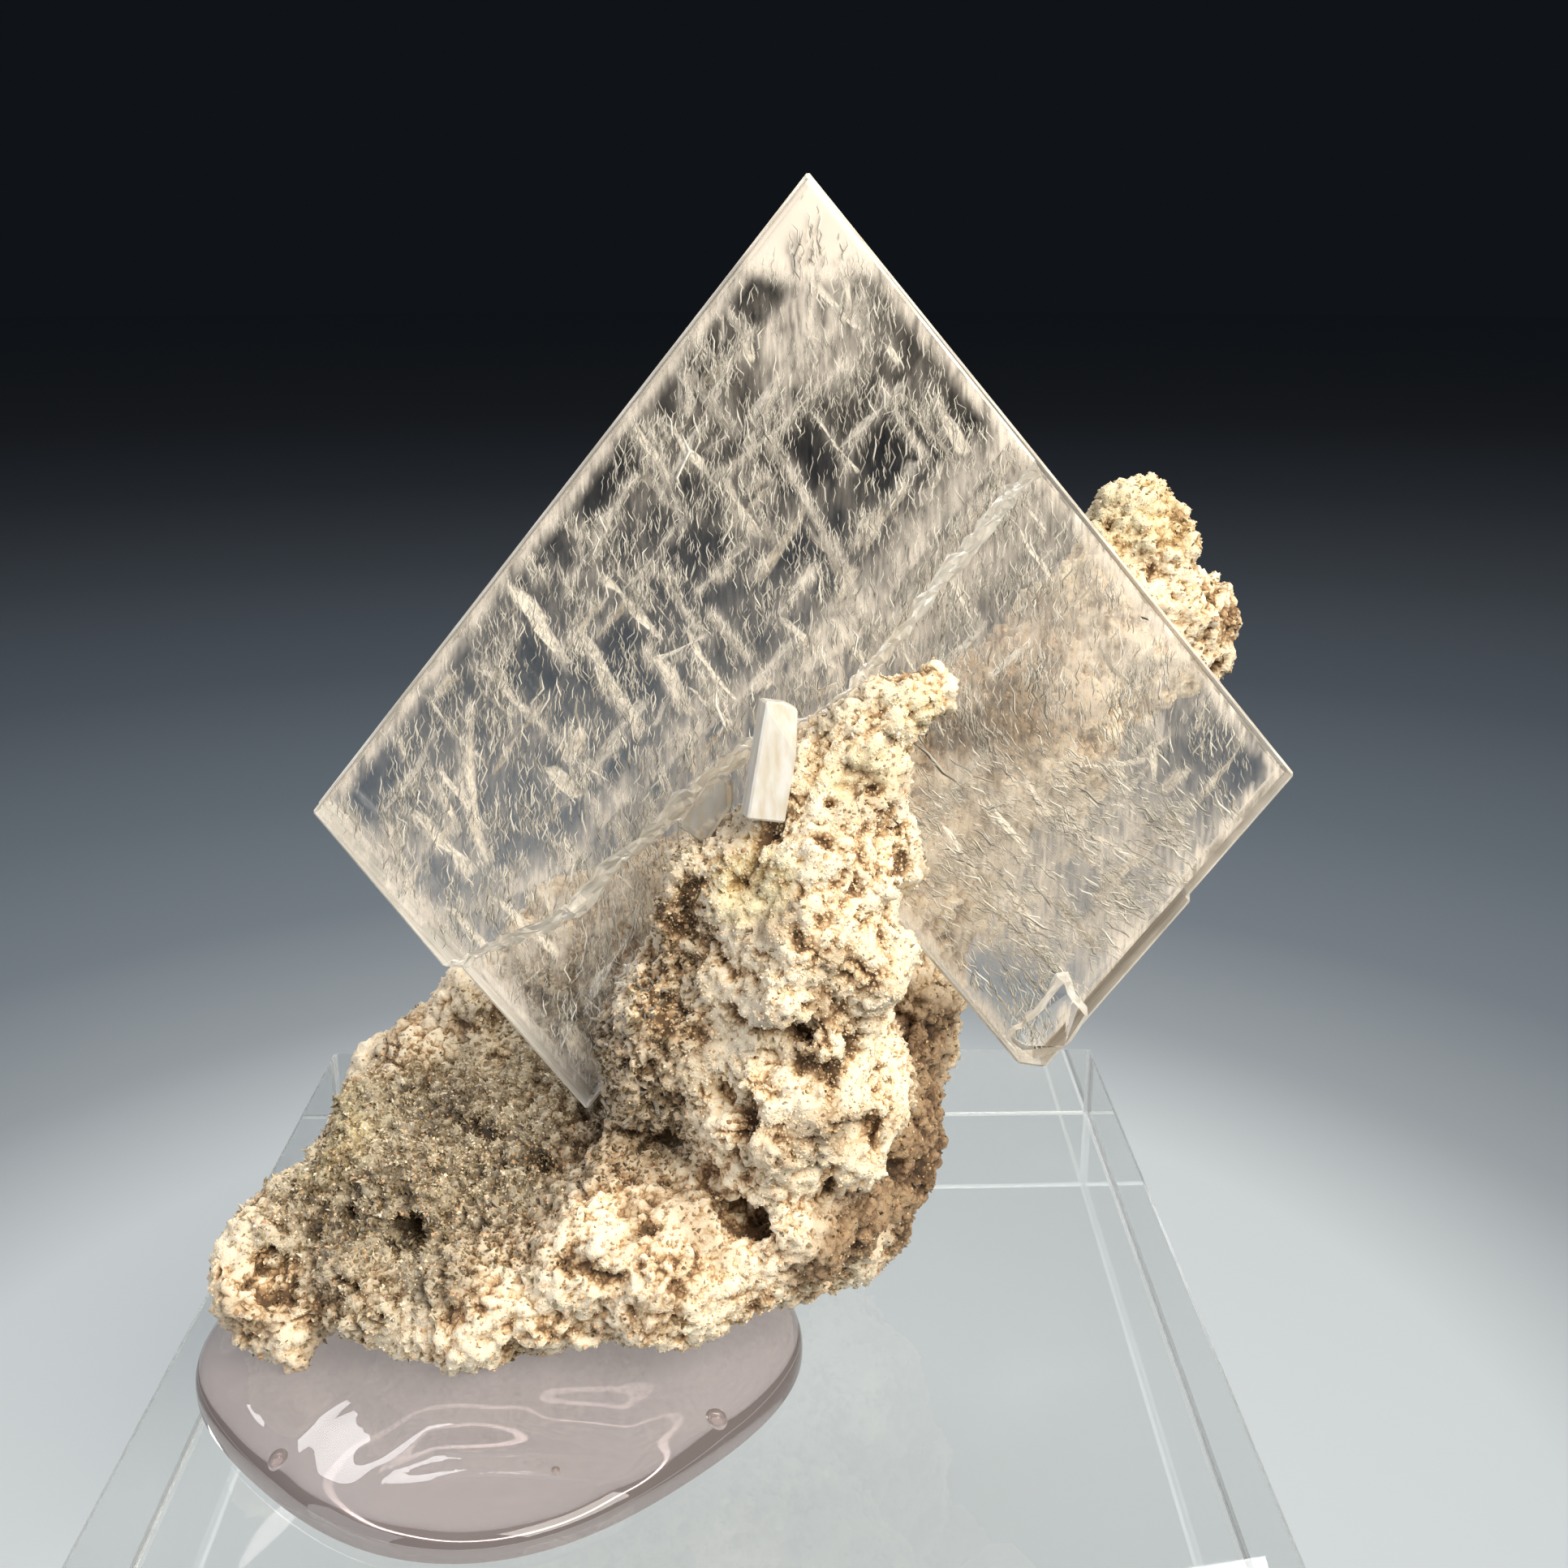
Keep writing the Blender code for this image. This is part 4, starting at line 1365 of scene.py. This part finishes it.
    def build_clouds(self) -> None:
        """Lay the milky layers in the plate, each one a thin closed sheet."""
        material = HealedCrack("milky_layer", colour="#EADFD0", roughness=0.7).make()
        for index, (depth, strength) in enumerate(self.layers):
            shape = bmesh.new()
            bmesh.ops.create_grid(shape, x_segments=self.sheet_steps,
                                  y_segments=self.sheet_steps, size=1.0)
            for spot in shape.verts:
                spot.co = self.on_lozenge(spot.co, depth, index)
            self.trim(shape, depth)
            self.thicken(shape)
            flat = np.array([v.co.xy for v in shape.verts])
            mottle = mottling(np.c_[flat / (0.9, 3.2), np.full(len(flat), 4.0 * index)], 0.7, 4)
            lines = self.crack_level(flat) * (PlateFrame.front_at(flat) - depth < 2.5)
            lines += patch_level(flat, self.veils)
            alpha = strength * (lines
                                + self.cloud_level(flat) * np.clip(0.75 + 1.3 * mottle, 0.1, 2.2))
            shape.transform(PlateFrame.matrix())
            name = f"milky_layer_{index + 1}"
            mesh = mesh_from(shape, name)
            store_attribute(mesh, "cloud", np.clip(alpha, 0.0, 3.0))
            layer = new_piece(name, mesh)
            finish_piece(layer, [material], smooth=True)
            let_light_through(layer)

    def on_lozenge(self, unit: Vector, depth: float, index: int) -> Vector:
        """Spread a grid point over the plate's lozenge.

        Args:
            unit: The grid's point, from -1 to 1 both ways.
            depth: The layer's height.
            index: The layer's number, for its own wave.

        Returns:
            The point's place on the plate.
        """
        top = Vector(PLATE_TOP)
        down_left = Vector(PLATE_LEFT_DIRECTION) * PLATE_LEFT_EDGE
        down_right = Vector(PLATE_RIGHT_DIRECTION) * PLATE_RIGHT_EDGE
        flat = top + down_left * (unit.x + 1) / 2 + down_right * (unit.y + 1) / 2
        wave = noise.noise(Vector((flat.x / 5.0, flat.y / 5.0, 10.0 * index))) * 0.35
        return Vector((flat.x, flat.y, depth + wave))

    def trim(self, shape: Shape, depth: float) -> None:
        """Keep a sheet inside the plate: clear of its sides and of its notch and step.

        Args:
            shape: The sheet, in the plate's own millimetres.
            depth: The sheet's height.
        """
        middles = np.array([face.calc_center_median().xy for face in shape.faces])
        outside = ~PlateFrame.contains(middles, 0.75 if depth > 0 else 0.3)
        outside |= PlateFrame.front_at(middles - np.array((0.0, 0.9))) < depth
        faces = [face for face, out in zip(shape.faces, outside) if out]
        bmesh.ops.delete(shape, geom=faces, context="FACES")

    def thicken(self, shape: Shape) -> None:
        """Give a sheet its thickness, with closed edges."""
        bmesh.ops.solidify(shape, geom=shape.faces[:], thickness=SHEET)
        bmesh.ops.recalc_face_normals(shape, faces=shape.faces)

    def crack_runs(self) -> list[Run]:
        """Give the large cracks and seeded small ones along the two cleavages.

        Returns:
            All the runs, the large ones first.
        """
        rng = np.random.default_rng(self.seed)
        runs = list(self.cracks) + self.cleavage_runs(rng)
        wanted = len(runs) + self.small_cracks
        while len(runs) < wanted:
            start = np.array((rng.uniform(-28, 35), rng.uniform(-28, 29)))
            ways = (PLATE_LEFT_DIRECTION, PLATE_RIGHT_DIRECTION, (0.15, -1.0))
            way = np.array(ways[rng.integers(3)])
            end = start + way * rng.uniform(1.0, 3.4) + rng.normal(0, 0.25, 2)
            if PlateFrame.contains(np.array([start, end]), 0.8).all():
                runs.append((tuple(start), tuple(end)))
        return runs

    def cleavage_lines(self) -> list[Array]:
        """Give the places of the cleavages that cut the plate, along both of its sides."""
        rng = np.random.default_rng(self.seed + 2)
        return [np.cumsum(rng.uniform(2.2, 5.6, 14)) for _ in range(2)]

    def cleavage_runs(self, rng: np.random.Generator) -> list[Run]:
        """Give broken runs along both cleavages, which cross in lozenges.

        Args:
            rng: The source of chance.

        Returns:
            The runs that lie inside the plate.
        """
        ways = (np.array(PLATE_LEFT_DIRECTION), np.array(PLATE_RIGHT_DIRECTION))
        runs = []
        for lines, along, over in zip(self.cleavage_lines(), ways[::-1], ways):
            for offset in lines:
                place = np.array(PLATE_TOP) + over * offset
                step = rng.uniform(1.0, 6.0)
                while step < 52.0:
                    start = place + along * step + rng.normal(0, 0.2, 2)
                    end = start + along * rng.uniform(2.5, 6.5) + rng.normal(0, 0.4, 2)
                    if PlateFrame.contains(np.array([start, end]), 0.9).all():
                        runs.append((tuple(start), tuple(end)))
                    step += rng.uniform(6.0, 14.0)
        return runs

    def build_cracks(self) -> None:
        """Stand the healed cracks in the plate, each one a wavy closed ribbon."""
        rng = np.random.default_rng(self.seed + 1)
        shape = bmesh.new()
        fades = []
        for run in self.crack_runs():
            front = float(PlateFrame.front_at(np.array(run)).min()) - 0.25
            high = front - rng.uniform(0.0, 1.0)
            low = max(high - rng.uniform(1.2, 3.5), PLATE_BACK + 0.3)
            fades += self.add_ribbon(shape, run, low, high, rng)
        bmesh.ops.recalc_face_normals(shape, faces=shape.faces)
        shape.transform(PlateFrame.matrix())
        mesh = mesh_from(shape, "healed_cracks")
        store_attribute(mesh, "cloud", np.array(fades) * self.crack_strength)
        cracks = new_piece("healed_cracks", mesh)
        finish_piece(cracks, [
            HealedCrack("healed_crack", colour="#F6ECDA", roughness=0.6, fibre=0.3,
                         fibre_length=2.0).make()],
            smooth=True)
        let_light_through(cracks)

    def add_ribbon(self, shape: Shape, run: Run,
                   low: float, high: float, rng: np.random.Generator) -> list[float]:
        """Add one crack's ribbon to the shape.

        Args:
            shape: The mesh that takes it, in the plate's own millimetres.
            run: The places that it passes, on the plate.
            low: Its deepest reach.
            high: Its highest reach.
            rng: The source of its waves.

        Returns:
            How strongly each of its points shows, in the order of the new points.
        """
        path = np.array(run)
        steps = np.concatenate([[0], np.cumsum(np.linalg.norm(np.diff(path, axis=0), axis=1))])
        length = steps[-1]
        columns = max(int(length / 0.3), 4)
        rows = 6
        lean = rng.choice((-1.0, 1.0)) * rng.uniform(0.1, 0.32)
        phase = rng.uniform(0, 50)
        part = bmesh.new()
        bmesh.ops.create_grid(part, x_segments=columns, y_segments=rows, size=1.0)
        spots, fades = [], []
        for spot in part.verts:
            u, v = (spot.co.x + 1) / 2, (spot.co.y + 1) / 2
            x = float(np.interp(u * length, steps, path[:, 0]))
            y = float(np.interp(u * length, steps, path[:, 1]))
            depth = low + (high - low) * v
            wave = noise.noise_vector(Vector((x / 2.0, y / 2.0, depth / 2.5 + phase))) * 0.4
            spot.co = Vector((x + wave.x + lean * (depth - high), y + wave.y, depth))
            spots.append(spot.co[:])
            fades.append(math.sin(math.pi * u) ** 0.4 * math.sin(math.pi * v) ** 0.4)
        self.thicken(part)
        mesh = bpy.data.meshes.new("ribbon")
        part.to_mesh(mesh)
        part.free()
        shape.from_mesh(mesh)
        away = np.linalg.norm(corner_array(mesh)[:, None] - np.array(spots)[None], axis=2)
        bpy.data.meshes.remove(mesh)
        return [fades[nearest] for nearest in away.argmin(axis=1)]

    def build_threads(self, batch: int, bend: float) -> None:
        """Scatter the fine curled threads that lie close under the plate's faces.

        Args:
            batch: The batch's number, for its name and seed.
            bend: How far its threads curl.
        """
        rng = np.random.default_rng(self.seed + 20 + batch)
        tries = np.c_[rng.uniform(-30, 37, (60000, 1)), rng.uniform(-32, 31, (60000, 1))]
        tries = tries[PlateFrame.contains(tries, 0.7)]
        clump = np.array([noise.noise(Vector((x / 3.0, y / 3.0, 4.0))) for x, y in tries])
        wanted = 0.06 + 0.3 * soft_step(clump, -0.2, 0.5) + 0.9 * self.crack_level(tries)
        flat = tries[rng.random(len(tries)) < wanted / 1.2][:self.threads]
        length = rng.lognormal(math.log(0.9), 0.4, len(flat))
        kept = PlateFrame.inset_of(flat) > 0.5 * length + 0.5
        flat, length = flat[kept], length[kept]
        count = len(flat)
        under = rng.exponential(1.6, count) + 0.15
        depth = np.maximum(PlateFrame.front_at(flat) - under, PLATE_BACK + 0.3)
        angle = rng.normal(0.0, 0.2, count) + self.streak_turn * self.streaked.weight(flat)
        width = rng.uniform(0.022, 0.046, count)
        tones = rng.beta(1.3, 1.6, count)
        flip = rng.choice((-1.0, 1.0), count)
        thread = TonedGrains("healed_thread", roughness=0.4, dark="#8E8980", middle="#CFC8BA",
                             light="#F6F0E2")
        self.lay_threads(f"threads_{batch + 1}", np.c_[flat, depth],
                         np.c_[angle, length, width, flip], tones, self.curl(bend), thread)

    def build_inclusion(self) -> None:
        """Leave the short dark speck under the plate's front face."""
        self.lay_threads("dark_inclusion", np.array([(26.4, 2.6, -0.3)]),
                         np.array([(1.15, 0.7, 0.12, 1.0)]), np.array([0.0]),
                         self.curl(0.03, 0.12),
                         TonedGrains("dark_mineral", roughness=0.6, dark="#1C1712"))

    def lay_threads(self, name: str, spots: Array, forms: Array, tones: Array,
                    template: Template, finish: Finish) -> None:
        """Lay curled threads in the plate as one piece.

        Args:
            name: The piece's name.
            spots: A place for each thread, in the plate's own millimetres.
            forms: Each thread's turn from upright, its length, its width and its side.
            tones: Each thread's tone.
            template: The thread that is repeated.
            finish: Their finish.
        """
        angle, length, width, flip = forms.T
        local = np.zeros((len(spots), 3, 3))
        local[:, 0, 0] = np.cos(angle) * length * flip
        local[:, 1, 0] = np.sin(angle) * length * flip
        local[:, 0, 2] = -np.sin(angle) * length
        local[:, 1, 2] = np.cos(angle) * length
        local[:, 2, 1] = width
        matrix = np.array(PlateFrame.matrix())
        places = np.c_[spots, np.ones(len(spots))] @ matrix.T
        mesh = repeat_template(name, template, matrix[:3, :3] @ local, places[:, :3],
                               tones)
        finish_piece(new_piece(name, mesh), [finish.make()], smooth=True)

    @staticmethod
    def curl(bend: float, girth: float = 0.038) -> Template:
        """Make one thread: a thin three-sided rod with a point at each end, bent twice.

        Args:
            bend: How far it curls, as a share of its length.
            girth: Its radius, as a share of its length.

        Returns:
            The thread, a unit long.
        """
        spots = [(0.0, 0.0, -0.5)]
        for height, side in ((-0.2, bend), (0.18, -bend)):
            spots += [(side + girth * math.cos(turn), 0.5 * math.sin(turn), height)
                      for turn in (0.0, 2.1, 4.2)]
        spots.append((0.3 * bend, 0.0, 0.5))
        faces = []
        for low, high in ((1, 2), (2, 3), (3, 1)):
            faces += [(0, high, low), (low, high, high + 3), (low, high + 3, low + 3),
                      (7, low + 3, high + 3)]
        return Template(np.array(spots), np.array(faces))


@dataclass(frozen=True)
class SmallCrystals:
    """The small crystals on the rock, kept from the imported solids."""

    nodes: tuple[str, ...] = ("prism_crystal", "tablet_crystal")

    def build(self) -> None:
        """Dress the prism and the tablet."""
        finish = MilkyBarite("milky_barite", roughness=0.3, ior=1.636, clearness=0.3).make()
        clear = MilkyBarite("half_clear_barite", roughness=0.15, ior=1.636, clearness=0.75).make()
        for node, material in zip(self.nodes, (finish, clear)):
            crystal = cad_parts[node]
            crystal.data.materials.clear()
            crystal.data.materials.append(material)
            LOG.info("%s: dressed", node)


CRUSTS = (
    Crust("slope_crust", Grain.NEEDLE, 24000, 0.34,
          TonedGrains("slope_druse", roughness=0.3, dark="#4E402C", middle="#8B785A",
                      light="#D6C8AA"),
          RockMatrix.grey + RockMatrix.brown[:3], 0.05, 31, lean=0.6),
    Crust("druse_points", Grain.POINT, 160, 0.55,
          TonedGrains("glassy_points", roughness=0.1, ior=1.636, clearness=0.6, dark="#C9BDA8",
                      middle="#E8DFCE", light="#FFFFFF"),
          (Patch((-4.3, -15.0, 49.5), (2.5, 3.0, 4.5)),
           Patch((-5.0, -13.0, 42.0), (5.0, 4.0, 4.0), 0.4),
           Patch((-23.0, -13.0, 39.5), (3.0, 4.0, 3.0), 0.4)), 0.0, 35, lean=0.5),
    Crust("spine_crust", Grain.SUGAR, 17000, 0.22,
          TonedGrains("spine_sugar", roughness=0.5, dark="#CBAC82", middle="#EED9B6",
                      light="#FFF4E0"),
          (Patch((7.0, -17.0, 52.0), (11.0, 8.0, 18.0)),
           Patch((13.0, -18.0, 67.0), (6.0, 6.0, 5.0)),
           Patch((30.0, 2.0, 82.0), (10.0, 10.0, 12.0), 0.8)), 0.1, 37),
    Crust("flank_crust", Grain.SUGAR, 20000, 0.24,
          TonedGrains("flank_sugar", roughness=0.55, dark="#8C6A48", middle="#C6A17A",
                      light="#F0D8B9"),
          (Patch((-8.0, -18.0, 30.0), (26.0, 12.0, 12.0)),
           Patch((8.0, 8.0, 45.0), (30.0, 14.0, 35.0), 0.6)), 0.25, 41),
)


def main() -> None:
    """Build the specimen, its stage and its camera."""
    logging.basicConfig(level=logging.INFO, format="%(message)s")
    noise.seed_set(NOISE_SEED)
    scene = bpy.context.scene
    scene.view_settings.view_transform = "Standard"
    scene.cycles.max_bounces = 10
    scene.cycles.transparent_max_bounces = 24
    scene.cycles.transmission_bounces = 8
    scene.cycles.diffuse_bounces = 2
    scene.cycles.glossy_bounces = 2
    scene.cycles.caustics_reflective = False
    scene.cycles.caustics_refractive = False
    PhotoCamera().build()
    Studio().build()
    AcrylicBlock().build()
    GelMount().build()
    ground = RockMatrix().build()
    for crust in CRUSTS:
        crust.build(ground)
    CrystalPlate().build()
    SmallCrystals().build()


if __name__ == "__main__":
    main()
